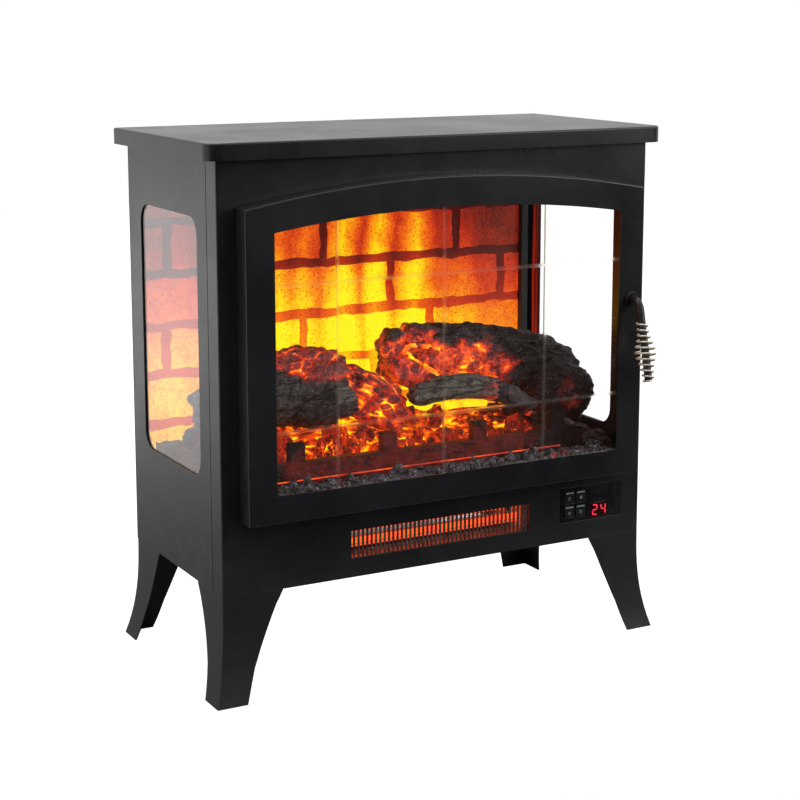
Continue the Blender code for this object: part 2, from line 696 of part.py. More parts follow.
def log(name, start, end, radii, bow, seed, material, sides=14):
    """A rough log: rings along a gently bowed line, each roughened by noise, with uneven ends."""
    start, end = Vector(start), Vector(end)
    run = (end - start).normalized()
    across = run.cross(Vector((0, 0, 1))).normalized()
    up = across.cross(run)
    bm = bmesh.new()
    rings = []
    for i, radius in enumerate(radii):
        t = i / (len(radii) - 1)
        centre = start.lerp(end, t) + up * bow * 4 * t * (1 - t)
        ring = []
        for k in range(sides):
            angle = 2 * math.pi * k / sides
            spoke = across * math.cos(angle) + up * math.sin(angle)
            bump = 1 + 0.10 * noise.noise(centre * 30 + spoke * 2 + Vector((seed, seed, 0)))
            ring.append(bm.verts.new(centre + spoke * radius * bump))
        rings.append(ring)
    for first, second in zip(rings, rings[1:]):
        for k in range(sides):
            bm.faces.new((first[k - 1], first[k], second[k], second[k - 1]))
    bm.faces.new(rings[0])
    bm.faces.new(rings[-1])
    return add_object(name, bm, material, smooth=True)


def heap(name, x0, x1, y0, y1, bottom, height, material, columns, rows):
    """A bed of embers or ash: a bumpy top over a flat underside."""
    bm = bmesh.new()
    grid = []
    for j in range(rows + 1):
        y = y0 + (y1 - y0) * j / rows
        line = [x0 + (x1 - x0) * i / columns for i in range(columns + 1)]
        grid.append([bm.verts.new((x, y, height(x, y))) for x in line])
    for j in range(rows):
        for i in range(columns):
            bm.faces.new((grid[j][i], grid[j][i + 1], grid[j + 1][i + 1], grid[j + 1][i]))
    rim = grid[0] + [row[-1] for row in grid[1:]] + grid[-1][-2::-1] + [row[0] for row in grid[-2:0:-1]]
    under = [bm.verts.new((v.co.x, v.co.y, bottom)) for v in rim]
    for k in range(len(rim)):
        bm.faces.new((rim[k - 1], rim[k], under[k], under[k - 1]))
    bm.faces.new(under)
    return add_object(name, bm, material)


def bed_height(x, y):
    """The ember bed climbs towards the flame screen."""
    back = (y - depth(0.044)) / 0.19
    bump = noise.noise(Vector((x * 45, y * 45, 0.3)))
    return 0.2500 + 0.018 * back + 0.005 * bump


def ash_height(x, y):
    return 0.2425 + 0.0035 * noise.noise(Vector((x * 70, y * 70, 7.0)))


def log_set():
    """The moulded logs and the glowing lump between them."""
    bark = finish("bark_black", (0.035, 0.032, 0.03), 0.85)
    left = (0.040, 0.045, 0.047, 0.046, 0.044, 0.041, 0.034)
    ends = ((-0.268, depth(0.118), 0.326), (-0.090, depth(0.105), 0.346))
    log("log_left", *ends, left, 0.004, 3.0, bark)
    split_bark = finish("split_bark", (0.04, 0.03, 0.03), 0.8, glow=(0.5, 0.03, 0.0))
    split = (0.030, 0.043, 0.047, 0.047, 0.045, 0.044, 0.042, 0.034)
    ends = ((-0.036, depth(0.146), 0.366), (0.250, depth(0.106), 0.318))
    log("log_split", *ends, split, 0.006, 8.0, split_bark)
    grey_bark = finish("grey_bark", (0.11, 0.10, 0.085), 0.85)
    branch = (0.0125, 0.0135, 0.0135, 0.013, 0.0125, 0.011)
    ends = ((0.004, depth(0.051), 0.322), (0.160, depth(0.049), 0.304))
    log("log_branch", *ends, branch, 0.018, 5.0, grey_bark, 12)
    ember = finish("ember_red", (0.3, 0.03, 0.01), 0.8, glow=(1.0, 0.12, 0.02))
    lump = (0.016, 0.028, 0.033, 0.030, 0.018)
    ends = ((-0.082, depth(0.080), 0.330), (-0.030, depth(0.072), 0.306))
    log("ember_lump", *ends, lump, 0.0, 2.0, ember, 12)


def fire_bed():
    """The ember bed behind the grate, and the strip of ash in front of it."""
    glowing = finish("bed_glow", (0.25, 0.03, 0.01), 0.9, glow=(1.0, 0.15, 0.02))
    bed = (-0.276, 0.276, depth(0.0440), depth(0.2340), MOUTH_BOTTOM)
    heap("ember_bed", *bed, bed_height, glowing, 26, 10)
    ash = finish("ash_grey", (0.10, 0.10, 0.105), 0.95)
    strip = (-0.244, 0.244, depth(-0.0175), depth(0.0290), MOUTH_BOTTOM + GAP)
    heap("ash_strip", *strip, ash_height, ash, 30, 4)


def fire_grate():
    """A plate on edge across the fire with four square posts standing up from it."""
    half = 0.222
    bottom, bar, top = MOUTH_BOTTOM, 0.267, 0.290
    post = 0.010
    outline = [(-half, bottom), (half, bottom), (half, bar)]
    for x in reversed(GRATE_X):
        outline += [(x + post, bar), (x + post, top), (x - post, top), (x - post, bar)]
    outline.append((-half, bar))
    iron = finish("grate_iron", (0.03, 0.028, 0.028), 0.7, 0.2)
    return prism("fire_grate", outline, depth(0.0300), depth(0.0425), "y", material=iron)


def flame_screen():
    """Brick-patterned screen, and the channel that hides the wires beside it."""
    glow = finish("screen_brick", (0.45, 0.2, 0.08), 0.6, glow=(1.0, 0.35, 0.03))
    faces = (depth(SCREEN_FRONT), depth(SCREEN_FRONT + 0.003))
    box("flame_screen", SCREEN_LEFT, SCREEN_RIGHT, *faces, MOUTH_BOTTOM, SCREEN_TOP, glow)
    left, front, back = SCREEN_RIGHT + 0.0005, depth(0.229), depth(CHANNEL_BACK)
    outer = [(left, front), (CHANNEL_RIGHT, front), (CHANNEL_RIGHT, back)]
    inner_left, inner_right = left + CHANNEL_SHEET, CHANNEL_RIGHT - CHANNEL_SHEET
    inner_front = front + CHANNEL_SHEET
    inner = [(inner_right, back), (inner_right, inner_front), (inner_left, inner_front), (inner_left, back)]
    steel = black_steel("channel_black")
    prism("wire_channel", [*outer, *inner, (left, back)], CHANNEL_FOOT, SCREEN_TOP, "z", material=steel)


def flicker_drive():
    """What throws flickering light on the screen from behind: a finned rod, its motor and a lamp board."""
    axis = (depth(FLICKER_DEPTH), FLICKER_Z)
    steel = finish("flicker_foil", (0.8, 0.8, 0.8), 0.15, 1.0)
    spindle = prism("flicker_rod", circle(*axis, 0.0025, 10), -0.2575, 0.2450, "x", material=steel)
    fins = 12
    bm = bmesh.new()
    for k in range(fins):
        x = -0.235 + 0.47 * k / (fins - 1)
        turn = Matrix.Translation((x, *axis)) @ Matrix.Rotation(k * math.radians(50), 4, "X")
        bmesh.ops.create_cube(bm, size=1.0, matrix=turn @ Matrix.Diagonal((0.018, 0.0008, 0.024, 1)))
    join(spindle, add_object("flicker_fins", bm))
    pivot_at(spindle, (0, *axis))
    motor = finish("flicker_motor_steel", (0.5, 0.5, 0.5), 0.4, 1.0)
    prism("flicker_motor", circle(*axis, 0.0125, 18), -0.2820, -0.2580, "x", material=motor)
    board = finish("led_board_white", (0.8, 0.8, 0.78), 0.4)
    box("flame_led_board", -0.240, 0.240, depth(0.2560), depth(0.2576), 0.2360, 0.2620, board)


# Cord entry


def cord_gland():
    """Plastic bush in the back panel that the supply cord passes through."""
    rubber = finish("gland_black", (0.02, 0.02, 0.02), 0.6)
    centre = (CORD_X, CORD_Z)
    body = circle(*centre, 0.0065, 16)
    barrel = prism("cord_gland", body, BACK_Y - 0.008, BACK_Y + 0.001, "y", material=rubber)
    flange = prism("gland_flange", circle(*centre, 0.0100, 20), BACK_Y + GAP, BACK_Y + 0.0028, "y")
    bore = prism("gland_bore", circle(*centre, 0.0038, 14), BACK_Y - 0.02, BACK_Y + 0.02, "y")
    return cut(join(barrel, flange), bore)


def main():
    clear_scene()
    top_cover()
    front_panel()
    side_panel("side_panel_left", -1)
    side_panel("side_panel_right", 1)
    side_glazing("left", -1)
    side_glazing("right", 1)
    rear_panel()
    base_plate()
    chamber_floor()
    legs()
    door_frame()
    door_glazing()
    hinges()
    magnet_catch()
    handle_rod()
    handle_grip()
    handle_washer()
    outlet_grille()
    heater()
    blower()
    controls()
    log_set()
    fire_bed()
    fire_grate()
    flame_screen()
    flicker_drive()
    cord_gland()


main()
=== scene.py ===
"""Electric stove heater: the finished looks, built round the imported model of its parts.

Metres, +Z up, front towards -Y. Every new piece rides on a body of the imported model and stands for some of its
nodes. The nodes that stay get a finish of their own."""

import math
import random

import bmesh
import bpy
from bpy.props import FloatProperty, FloatVectorProperty, IntProperty, PointerProperty
from mathutils import Matrix, Vector


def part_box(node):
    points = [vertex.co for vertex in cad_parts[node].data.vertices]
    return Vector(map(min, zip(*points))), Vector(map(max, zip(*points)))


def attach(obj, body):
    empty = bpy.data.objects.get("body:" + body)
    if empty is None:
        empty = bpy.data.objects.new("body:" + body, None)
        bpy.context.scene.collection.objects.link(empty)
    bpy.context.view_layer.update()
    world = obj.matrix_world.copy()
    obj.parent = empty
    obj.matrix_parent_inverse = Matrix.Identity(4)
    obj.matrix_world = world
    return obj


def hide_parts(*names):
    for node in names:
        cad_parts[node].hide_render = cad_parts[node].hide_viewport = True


bl_info = {
    "name": "Electric Stove Heater",
    "version": (1, 0, 0),
    "blender": (4, 5, 0),
    "location": "View3D > Sidebar > Stove",
    "description": "Builds the visible pieces and finishes of a log-effect electric stove",
    "category": "Add Mesh",
}

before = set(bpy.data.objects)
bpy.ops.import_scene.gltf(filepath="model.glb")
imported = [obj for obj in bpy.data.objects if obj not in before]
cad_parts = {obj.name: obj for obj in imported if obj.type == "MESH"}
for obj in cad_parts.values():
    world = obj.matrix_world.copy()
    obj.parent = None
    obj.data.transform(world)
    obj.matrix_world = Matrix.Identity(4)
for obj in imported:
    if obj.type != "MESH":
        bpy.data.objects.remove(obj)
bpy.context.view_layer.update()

FACE_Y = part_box("front_panel")[0].y
DOOR_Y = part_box("door_frame")[0].y
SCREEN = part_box("flame_screen")
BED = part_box("ember_bed")
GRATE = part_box("fire_grate")


# Sizes and colours


def length(name, description, default):
    return FloatProperty(name=name, description=description, default=default, unit="LENGTH", precision=4)


def colour(name, description, default):
    return FloatVectorProperty(
        name=name, description=description, default=default, size=3, min=0.0, max=1.0, subtype="COLOR"
    )


def share(name, description, default):
    return FloatProperty(name=name, description=description, default=default, min=0.0, max=1.0, subtype="FACTOR")


def level(name, description, default):
    return FloatProperty(name=name, description=description, default=default, min=0.0)


class CabinetSettings(bpy.types.PropertyGroup):
    """Sheet steel cabinet and its coating."""

    sheet: length("Sheet", "Thickness of the folded steel", 0.0015)
    edge: length("Edge", "Rounding of cut edges", 0.0005)
    seam: length("Side seam", "Extra gap between the front sheet's fold and the side sheet", 0.0007)
    fold: length("Fold", "Outer radius of the front panel's folds", 0.0025)
    lid_corner: length("Lid corner", "Radius of the lid's front corners in plan", 0.018)
    lid_edge: length("Lid edge", "Rounding along the lid's top", 0.0022)
    lid_lip: length("Lid lip", "Width of the rim under the lid", 0.030)
    mouth_corner: length("Mouth corner", "Radius of the firebox opening's corners", 0.006)
    window_round: length("Window corner", "Radius of the side windows' corners", 0.022)
    coating: colour("Coating", "Satin black powder coat", (0.0125, 0.0125, 0.0145))
    inner_coating: colour("Inner coating", "Matt black of the firebox", (0.011, 0.010, 0.010))
    gloss: share("Roughness", "Roughness of the powder coat", 0.30)
    dust: share("Dust", "Dust lying on upward faces", 0.05)


class DoorSettings(bpy.types.PropertyGroup):
    """Arched door and its grooved glass."""

    half: length("Half width", "From the middle to the door's side", 0.268)
    bottom: length("Bottom", "Height of the door's lower edge", 0.214)
    corner: length("Corner", "Height where the arch begins", 0.575)
    apex: length("Apex", "Height of the arch's middle", 0.601)
    view_half: length("View half width", "From the middle to the opening's side", 0.233)
    view_bottom: length("View bottom", "Lower edge of the glazed opening", 0.2468)
    view_corner: length("View corner", "Where the opening's arch begins", 0.5475)
    view_apex: length("View apex", "Middle of the opening's arch", 0.5655)
    pressed: length("Pressed edge", "Rounding of the door's front edge", 0.0018)
    groove_side: length("Groove side", "Upright grooves left and right of the middle one", 0.140)
    groove_middle: length("Groove middle", "Place of the middle groove", -0.015)
    groove_high: length("Upper groove", "Height of the upper level groove", 0.4875)
    groove_low: length("Lower groove", "Height of the lower level groove", 0.3195)
    groove_width: length("Groove width", "Width of the cut in the glass", 0.0046)
    groove_depth: length("Groove depth", "Depth of the cut in the glass", 0.00008)


class HandleSettings(bpy.types.PropertyGroup):
    """Bent bar with its spring grip."""

    bar: length("Bar radius", "Radius of the bent bar", 0.0049)
    wire: length("Wire radius", "Radius of the grip's wire", 0.0012)
    turns: FloatProperty(name="Turns", description="Turns of the spring grip", default=10.5, min=2.0)
    belly: length("Belly", "How far the middle turns stand out", 0.0063)
    top: length("Grip top", "Height of the grip's upper end", 0.4125)
    bottom: length("Grip bottom", "Height of the grip's lower end", 0.339)
    top_reach: length("Top reach", "Grip's axis ahead of the door at its top", 0.0240)
    bottom_reach: length("Bottom reach", "Grip's axis ahead of the door at its foot", 0.0415)
    bronze: colour("Bar colour", "Dark warm grey of the bar", (0.036, 0.030, 0.027))
    nickel: colour("Grip colour", "Warm nickel of the wire", (0.88, 0.80, 0.68))


class ControlSettings(bpy.types.PropertyGroup):
    """Fascia, buttons and display."""

    digits: IntProperty(name="Digits", description="Number on the display", default=24, min=10, max=99)
    digit_glow: colour("Digit colour", "Red of the lit segments", (1.0, 0.035, 0.06))
    mark: colour("Mark colour", "Grey print on the buttons", (0.33, 0.34, 0.34))


class FireSettings(bpy.types.PropertyGroup):
    """Brick screen, embers and logs."""

    joint: length("Joint", "Width of the mortar between bricks", 0.0125)
    relief: length("Relief", "How far the bricks stand out", 0.0016)
    grid: length("Bed grid", "Spacing of the ember bed's mesh", 0.0024)
    coals: IntProperty(name="Coals", description="Loose lumps in the ember bed", default=90, min=1)
    cinders: IntProperty(name="Cinders", description="Loose lumps in the ash strip", default=110, min=1)
    screen_glow: level("Screen glow", "Brightness of the screen", 1.05)
    bed_glow: level("Bed glow", "Brightness of the embers", 1.4)
    log_glow: level("Log glow", "Brightness of the cracks in the logs", 1.3)
    heater_glow: level("Heater glow", "Brightness of the quartz tubes", 2.6)


class StageSettings(bpy.types.PropertyGroup):
    """Floor, light and camera."""

    floor: colour("Floor colour", "Studio floor", (0.16, 0.16, 0.16))
    floor_glow: level("Floor glow", "Light of the floor itself", 1.05)
    sky: level("Sky", "Brightness of the surroundings behind the stove", 0.76)
    room: level("Room", "Brightness of the room in front", 0.60)
    sun: level("Sun", "Strength of the soft light from above", 2.1)
    fill: level("Fill", "Power of the soft light at the right", 13.0)
    lens: FloatProperty(name="Lens", description="Focal length in millimetres", default=82.03, min=1.0)
    camera: FloatVectorProperty(
        name="Camera", description="Camera's place", subtype="XYZ", default=(-1.0677, -1.9588, 0.7991)
    )
    turn: FloatProperty(name="Turn", description="Camera's turn from straight ahead", subtype="ANGLE", default=0.4986)
    tilt: FloatProperty(name="Tilt", description="Camera's downward tilt", subtype="ANGLE", default=0.1726)
    shift: FloatProperty(name="Shift", description="Vertical lens shift", default=-0.1)


class StoveSettings(bpy.types.PropertyGroup):
    """All settings of the stove."""

    cabinet: PointerProperty(type=CabinetSettings)
    door: PointerProperty(type=DoorSettings)
    handle: PointerProperty(type=HandleSettings)
    controls: PointerProperty(type=ControlSettings)
    fire: PointerProperty(type=FireSettings)
    stage: PointerProperty(type=StageSettings)


def settings():
    return bpy.context.scene.stove


# Modelling steps


def deselect():
    """Object mode with nothing selected."""
    active = bpy.context.object
    if active and active.mode != "OBJECT":
        bpy.ops.object.mode_set(mode="OBJECT")
    bpy.ops.object.select_all(action="DESELECT")


def only(obj):
    """Selects one object and makes it active."""
    deselect()
    obj.select_set(True)
    bpy.context.view_layer.objects.active = obj
    return obj


def settle(obj):
    """Moves the object's place, turn and size into its mesh."""
    only(obj)
    bpy.ops.object.transform_apply(location=True, rotation=True, scale=True)
    return obj


def block(name, low, high):
    """A box between two corners."""
    low, high = Vector(low), Vector(high)
    deselect()
    bpy.ops.mesh.primitive_cube_add(size=1, location=(low + high) / 2)
    made = bpy.context.object
    made.name = name
    made.scale = high - low
    return settle(made)


def drum(name, centre, radius, depth, axis="Z", sides=32):
    """A cylinder whose axis lies along X, Y or Z."""
    turns = {"X": (0, math.pi / 2, 0), "Y": (math.pi / 2, 0, 0), "Z": (0, 0, 0)}
    deselect()
    bpy.ops.mesh.primitive_cylinder_add(
        vertices=sides, radius=radius, depth=depth, location=centre, rotation=turns[axis]
    )
    made = bpy.context.object
    made.name = name
    return settle(made)


def edit(obj, action="DESELECT"):
    """Opens edit mode with nothing selected, or with all of it."""
    only(obj)
    bpy.ops.object.mode_set(mode="EDIT")
    bpy.ops.mesh.select_all(action=action)


def close():
    bpy.ops.object.mode_set(mode="OBJECT")


def pick(kind, test):
    """In edit mode, selects the points, edges or faces that pass a test of their middle and direction."""
    bpy.ops.mesh.select_mode(type=kind)
    bpy.ops.mesh.select_all(action="DESELECT")
    bm = bmesh.from_edit_mesh(bpy.context.object.data)
    if kind == "VERT":
        items = [(v, v.co, v.normal) for v in bm.verts]
    elif kind == "EDGE":
        items = [
            (e, (e.verts[0].co + e.verts[1].co) / 2, (e.verts[1].co - e.verts[0].co).normalized()) for e in bm.edges
        ]
    else:
        items = [(f, f.calc_center_median(), f.normal) for f in bm.faces]
    for item, middle, direction in items:
        if test(middle, direction):
            item.select_set(True)
    bm.select_flush_mode()
    bmesh.update_edit_mesh(bpy.context.object.data)


def extrude(x, y, z):
    """Draws the selected faces out by a step."""
    bpy.ops.mesh.extrude_region_move(TRANSFORM_OT_translate={"value": (x, y, z)})


def nudge(x, y, z):
    """Moves what is selected in edit mode."""
    bpy.ops.transform.translate(value=(x, y, z))


def along(axis):
    """A test that passes edges along an axis, or faces square to it."""
    return lambda middle, direction: abs(getattr(direction, axis)) > 0.9


def round_edges(obj, test, radius, segments=6):
    """Bevels the edges that pass a test."""
    edit(obj)
    pick("EDGE", test)
    bpy.ops.mesh.bevel(offset=radius, segments=segments, affect="EDGES")
    close()
    return obj


def apply(obj, kind, **values):
    """Adds a modifier with these values and applies it."""
    only(obj)
    modifier = obj.modifiers.new(kind.title(), kind)
    for key, value in values.items():
        setattr(modifier, key, value)
    bpy.ops.object.modifier_apply(modifier=modifier.name)
    return obj


def discard(*objects):
    for obj in objects:
        bpy.data.objects.remove(obj, do_unlink=True)


def carve(obj, *cutters, operation="DIFFERENCE"):
    """Cuts, joins or crosses the object with others, which are used up."""
    for cutter in cutters:
        apply(obj, "BOOLEAN", operation=operation, solver="EXACT", object=cutter)
        discard(cutter)
    return obj


def smooth(obj, angle):
    """Smooth faces, with the edges sharper than the angle kept hard."""
    only(obj)
    bpy.ops.object.shade_smooth_by_angle(angle=math.radians(angle))
    return obj


def weigh(obj):
    """Keeps large flat faces looking flat."""
    return apply(obj, "WEIGHTED_NORMAL", mode="FACE_AREA", weight=100, keep_sharp=True)


def ease(obj, width, segments=2, angle=35):
    """Rounds every sharp edge a little."""
    apply(
        obj, "BEVEL", width=width, segments=segments, limit_method="ANGLE", angle_limit=math.radians(angle),
        use_clamp_overlap=True, harden_normals=False,
    )
    return weigh(smooth(obj, angle))


def mend(obj):
    """Merges doubled points and turns all faces outwards."""
    edit(obj, "SELECT")
    bpy.ops.mesh.remove_doubles(threshold=0.00001)
    bpy.ops.mesh.normals_make_consistent(inside=False)
    close()
    return obj


def duplicate(obj, name):
    """A copy with its own mesh."""
    only(obj)
    bpy.ops.object.duplicate(linked=False)
    made = bpy.context.object
    made.name = name
    return made


def mirror(obj, name, x=False, y_about=None):
    """A mirrored copy, across the middle or across a plane of constant Y."""
    made = duplicate(obj, name)
    made.scale = (-1 if x else 1, -1 if y_about is not None else 1, 1)
    if y_about is not None:
        made.location.y = 2 * y_about
    mend(settle(made))
    only(made)
    bpy.ops.mesh.customdata_custom_splitnormals_clear()
    return weigh(smooth(made, 35))


def join(name, parts):
    """One object from several."""
    deselect()
    for part in parts:
        part.select_set(True)
    bpy.context.view_layer.objects.active = parts[0]
    bpy.ops.object.join()
    parts[0].name = name
    return parts[0]


def wire(name, points, radius, rounds=4):
    """A round bar or wire along points, as a mesh with closed ends."""
    line = bpy.data.curves.new(name, "CURVE")
    line.dimensions = "3D"
    line.bevel_depth = radius
    line.bevel_resolution = rounds
    line.use_fill_caps = True
    spline = line.splines.new("POLY")
    spline.points.add(len(points) - 1)
    for target, point in zip(spline.points, points):
        target.co = (*point, 1.0)
    made = bpy.data.objects.new(name, line)
    bpy.context.scene.collection.objects.link(made)
    only(made)
    bpy.ops.object.convert(target="MESH")
    made = bpy.context.object
    mend(made)
    return smooth(made, 50)


def paint(obj, *finishes):
    obj.data.materials.clear()
    for name in finishes:
        obj.data.materials.append(bpy.data.materials[name])
    return obj


def paint_faces(obj, index, test):
    """Gives the faces that pass a test the finish at this place in the object's list."""
    edit(obj)
    pick("FACE", test)
    obj.active_material_index = index
    bpy.ops.object.material_slot_assign()
    close()
    return obj


def install(obj, body, slot, *nodes):
    """Lets a piece ride on its body and stand for CAD nodes."""
    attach(obj, body)
    if nodes:
        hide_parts(*nodes)
    return obj


def arched(name, half, bottom, corner, apex, y0, y1):
    """A slab whose top edge is an arc through the apex."""
    rise = apex - corner
    radius = (half * half + rise * rise) / (2 * rise)
    slab = block(name, (-half, y0, bottom), (half, y1, apex + 0.01))
    arc = drum("arc", (0, (y0 + y1) / 2, apex - radius), radius, abs(y1 - y0) + 0.02, "Y", 900)
    return carve(slab, arc, operation="INTERSECT")


# Finishes


def feed(tree, socket, value):
    """Links a socket to another, or sets its value; a colour may leave out its alpha."""
    if isinstance(value, bpy.types.NodeSocket):
        tree.links.new(value, socket)
    elif isinstance(value, (int, float)):
        socket.default_value = value
    else:
        socket.default_value = (*value, 1.0)[: len(socket.default_value)]


def add(tree, kind, inputs=None, **properties):
    """A node with its inputs set or linked."""
    node = tree.nodes.new(kind)
    node.location = (-200 * (len(tree.nodes) % 9), -180 * (len(tree.nodes) // 9))
    for key, value in properties.items():
        setattr(node, key, value)
    for key, value in (inputs or {}).items():
        feed(tree, node.inputs[key], value)
    return node


def math_node(tree, operation, first, second=None, clamp=False):
    inputs = {0: first}
    if second is not None:
        inputs[1] = second
    return add(tree, "ShaderNodeMath", inputs, operation=operation, use_clamp=clamp).outputs[0]


def times(tree, first, second, clamp=False):
    return math_node(tree, "MULTIPLY", first, second, clamp)


def plus(tree, first, second, clamp=False):
    return math_node(tree, "ADD", first, second, clamp)


def minus(tree, first, second):
    return math_node(tree, "SUBTRACT", first, second)


def mapped(tree, value, low, high, to_low=0.0, to_high=1.0, kind="SMOOTHSTEP"):
    node = add(
        tree, "ShaderNodeMapRange",
        {"Value": value, "From Min": low, "From Max": high, "To Min": to_low, "To Max": to_high},
        interpolation_type=kind,
    )
    return node.outputs["Result"]


def blended(tree, share_of, first, second):
    """A mix of two colours."""
    node = add(tree, "ShaderNodeMix", data_type="RGBA")
    for place, value in ((0, share_of), (6, first), (7, second)):
        feed(tree, node.inputs[place], value)
    return node.outputs[2]


def mixed(tree, share_of, first, second):
    """A mix of two values."""
    return add(tree, "ShaderNodeMix", {0: share_of, 2: first, 3: second}).outputs[0]


def noise_of(tree, vector, scale, detail=3.0, roughness=0.5, distortion=0.0):
    inputs = {"Vector": vector, "Scale": scale, "Detail": detail, "Roughness": roughness, "Distortion": distortion}
    return add(tree, "ShaderNodeTexNoise", inputs).outputs["Fac"]


def swing(tree, vector, scale, detail=3.0, roughness=0.5):
    """Noise about nought."""
    return minus(tree, noise_of(tree, vector, scale, detail, roughness), 0.5)


def axes_of(tree, vector):
    return add(tree, "ShaderNodeSeparateXYZ", {0: vector}).outputs


def ramp_of(tree, value, stops):
    """A colour ramp through places and their colours."""
    ramp = add(tree, "ShaderNodeValToRGB", {"Fac": value})
    elements = ramp.color_ramp.elements
    while len(elements) < len(stops):
        elements.new(0.5)
    for element, (place, shade) in zip(elements, stops):
        element.position = place
        element.color = (*shade, 1.0)
    return ramp.outputs["Color"]


def new_group(name, inputs, outputs):
    """An empty node group, with its input and output sockets."""
    tree = bpy.data.node_groups.new(name, "ShaderNodeTree")
    kinds = {"vector": "NodeSocketVector", "value": "NodeSocketFloat", "colour": "NodeSocketColor"}
    for socket, kind, default in inputs:
        made = tree.interface.new_socket(name=socket, in_out="INPUT", socket_type=kinds[kind])
        if default is not None:
            made.default_value = default
    for socket, kind in outputs:
        tree.interface.new_socket(name=socket, in_out="OUTPUT", socket_type=kinds[kind])
    return tree, tree.nodes.new("NodeGroupInput").outputs, tree.nodes.new("NodeGroupOutput").inputs


def build_grain():
    """Fine bumps in a coating or casting."""
    tree, given, result = new_group(
        "Fine Grain", [("Vector", "vector", None), ("Scale", "value", 900.0)], [("Height", "value")]
    )
    fine = noise_of(tree, given["Vector"], given["Scale"], 2.0)
    coarse_scale = times(tree, given["Scale"], 0.21)
    coarse = noise_of(tree, given["Vector"], coarse_scale, 2.0)
    tree.links.new(plus(tree, fine, times(tree, coarse, 0.8)), result["Height"])
    return tree


def build_tone():
    """Slow changes of colour and roughness across a surface."""
    tree, given, result = new_group(
        "Tone Variation",
        [("Vector", "vector", None), ("Scale", "value", 9.0), ("Light", "colour", (1, 1, 1, 1)),
         ("Dark", "colour", (0, 0, 0, 1)), ("Low Roughness", "value", 0.3), ("High Roughness", "value", 0.4)],
        [("Color", "colour"), ("Roughness", "value")],
    )
    slow = mapped(tree, noise_of(tree, given["Vector"], given["Scale"], 5.0, 0.6), 0.3, 0.7)
    tree.links.new(blended(tree, slow, given["Dark"], given["Light"]), result["Color"])
    tree.links.new(mixed(tree, slow, given["Low Roughness"], given["High Roughness"]), result["Roughness"])
    return tree


def new_layer(name, colour_name, colour_of_layer, amount):
    """A group that lays a second colour over a first one where its mask says so."""
    return new_group(
        name,
        [("Vector", "vector", None), ("Color", "colour", (0, 0, 0, 1)), (colour_name, "colour", colour_of_layer),
         ("Amount", "value", amount)],
        [("Color", "colour"), ("Mask", "value")],
    )


def finish_layer(tree, given, result, colour_name, where, patches):
    mask = times(tree, times(tree, where, patches), given["Amount"], clamp=True)
    tree.links.new(blended(tree, mask, given["Color"], given[colour_name]), result["Color"])
    tree.links.new(mask, result["Mask"])
    return tree


def build_wear():
    """Coating rubbed thin along outward edges."""
    tree, given, result = new_layer("Worn Edges", "Worn Color", (0.1, 0.1, 0.1, 1), 0.3)
    edge = mapped(tree, add(tree, "ShaderNodeNewGeometry").outputs["Pointiness"], 0.51, 0.60)
    patches = mapped(tree, noise_of(tree, given["Vector"], 60.0, 4.0), 0.42, 0.66)
    return finish_layer(tree, given, result, "Worn Color", edge, patches)


def build_dust():
    """Dust that has settled on upward faces."""
    tree, given, result = new_layer("Settled Dust", "Dust Color", (0.3, 0.28, 0.26, 1), 0.05)
    normal = axes_of(tree, add(tree, "ShaderNodeNewGeometry").outputs["Normal"])
    upward = mapped(tree, normal["Z"], 0.5, 0.95)
    specks = mapped(tree, noise_of(tree, given["Vector"], 240.0, 5.0, 0.7), 0.35, 0.75)
    return finish_layer(tree, given, result, "Dust Color", upward, specks)


FIRE_STOPS = (
    (0.0, (0.003, 0.0008, 0.0004)), (0.16, (0.08, 0.005, 0.003)), (0.30, (0.32, 0.015, 0.005)),
    (0.42, (0.60, 0.035, 0.005)), (0.54, (0.84, 0.11, 0.004)), (0.66, (0.95, 0.27, 0.003)),
    (0.82, (1.0, 0.66, 0.004)), (1.0, (1.0, 0.90, 0.012)),
)


def build_fire():
    """Colour of glowing matter, from cold to white hot."""
    tree, given, result = new_group("Fire Colour", [("Heat", "value", 0.5)], [("Color", "colour")])
    tree.links.new(ramp_of(tree, given["Heat"], FIRE_STOPS), result["Color"])
    return tree


def build_groups():
    for make in (build_grain, build_tone, build_wear, build_dust, build_fire):
        make()


def use(tree, group, **inputs):
    """Places a node group in a material; underscores in names stand for spaces."""
    node = add(tree, "ShaderNodeGroup", node_tree=bpy.data.node_groups[group])
    for key, value in inputs.items():
        feed(tree, node.inputs[key.replace("_", " ")], value)
    return node.outputs


def new_finish(name):
    """A material with its tree, shader and object coordinates."""
    material = bpy.data.materials.new(name)
    material.use_nodes = True
    tree = material.node_tree
    place = add(tree, "ShaderNodeTexCoord").outputs["Object"]
    return material, tree, tree.nodes["Principled BSDF"], place


def set_shader(shader, **values):
    for key, value in values.items():
        feed(None, shader.inputs[key.replace("_", " ")], value)


def bumped(tree, shader, height, depth, strength=1.0):
    node = add(tree, "ShaderNodeBump", {"Height": height, "Distance": depth, "Strength": strength})
    tree.links.new(node.outputs["Normal"], shader.inputs["Normal"])


def grained(tree, shader, place, scale, depth):
    """Fine bumps alone."""
    bumped(tree, shader, use(tree, "Fine Grain", Vector=place, Scale=scale)["Height"], depth)


def burn(tree, shader, heat):
    """Light the colour of the heat."""
    tree.links.new(use(tree, "Fire Colour", Heat=heat)["Color"], shader.inputs["Emission Color"])


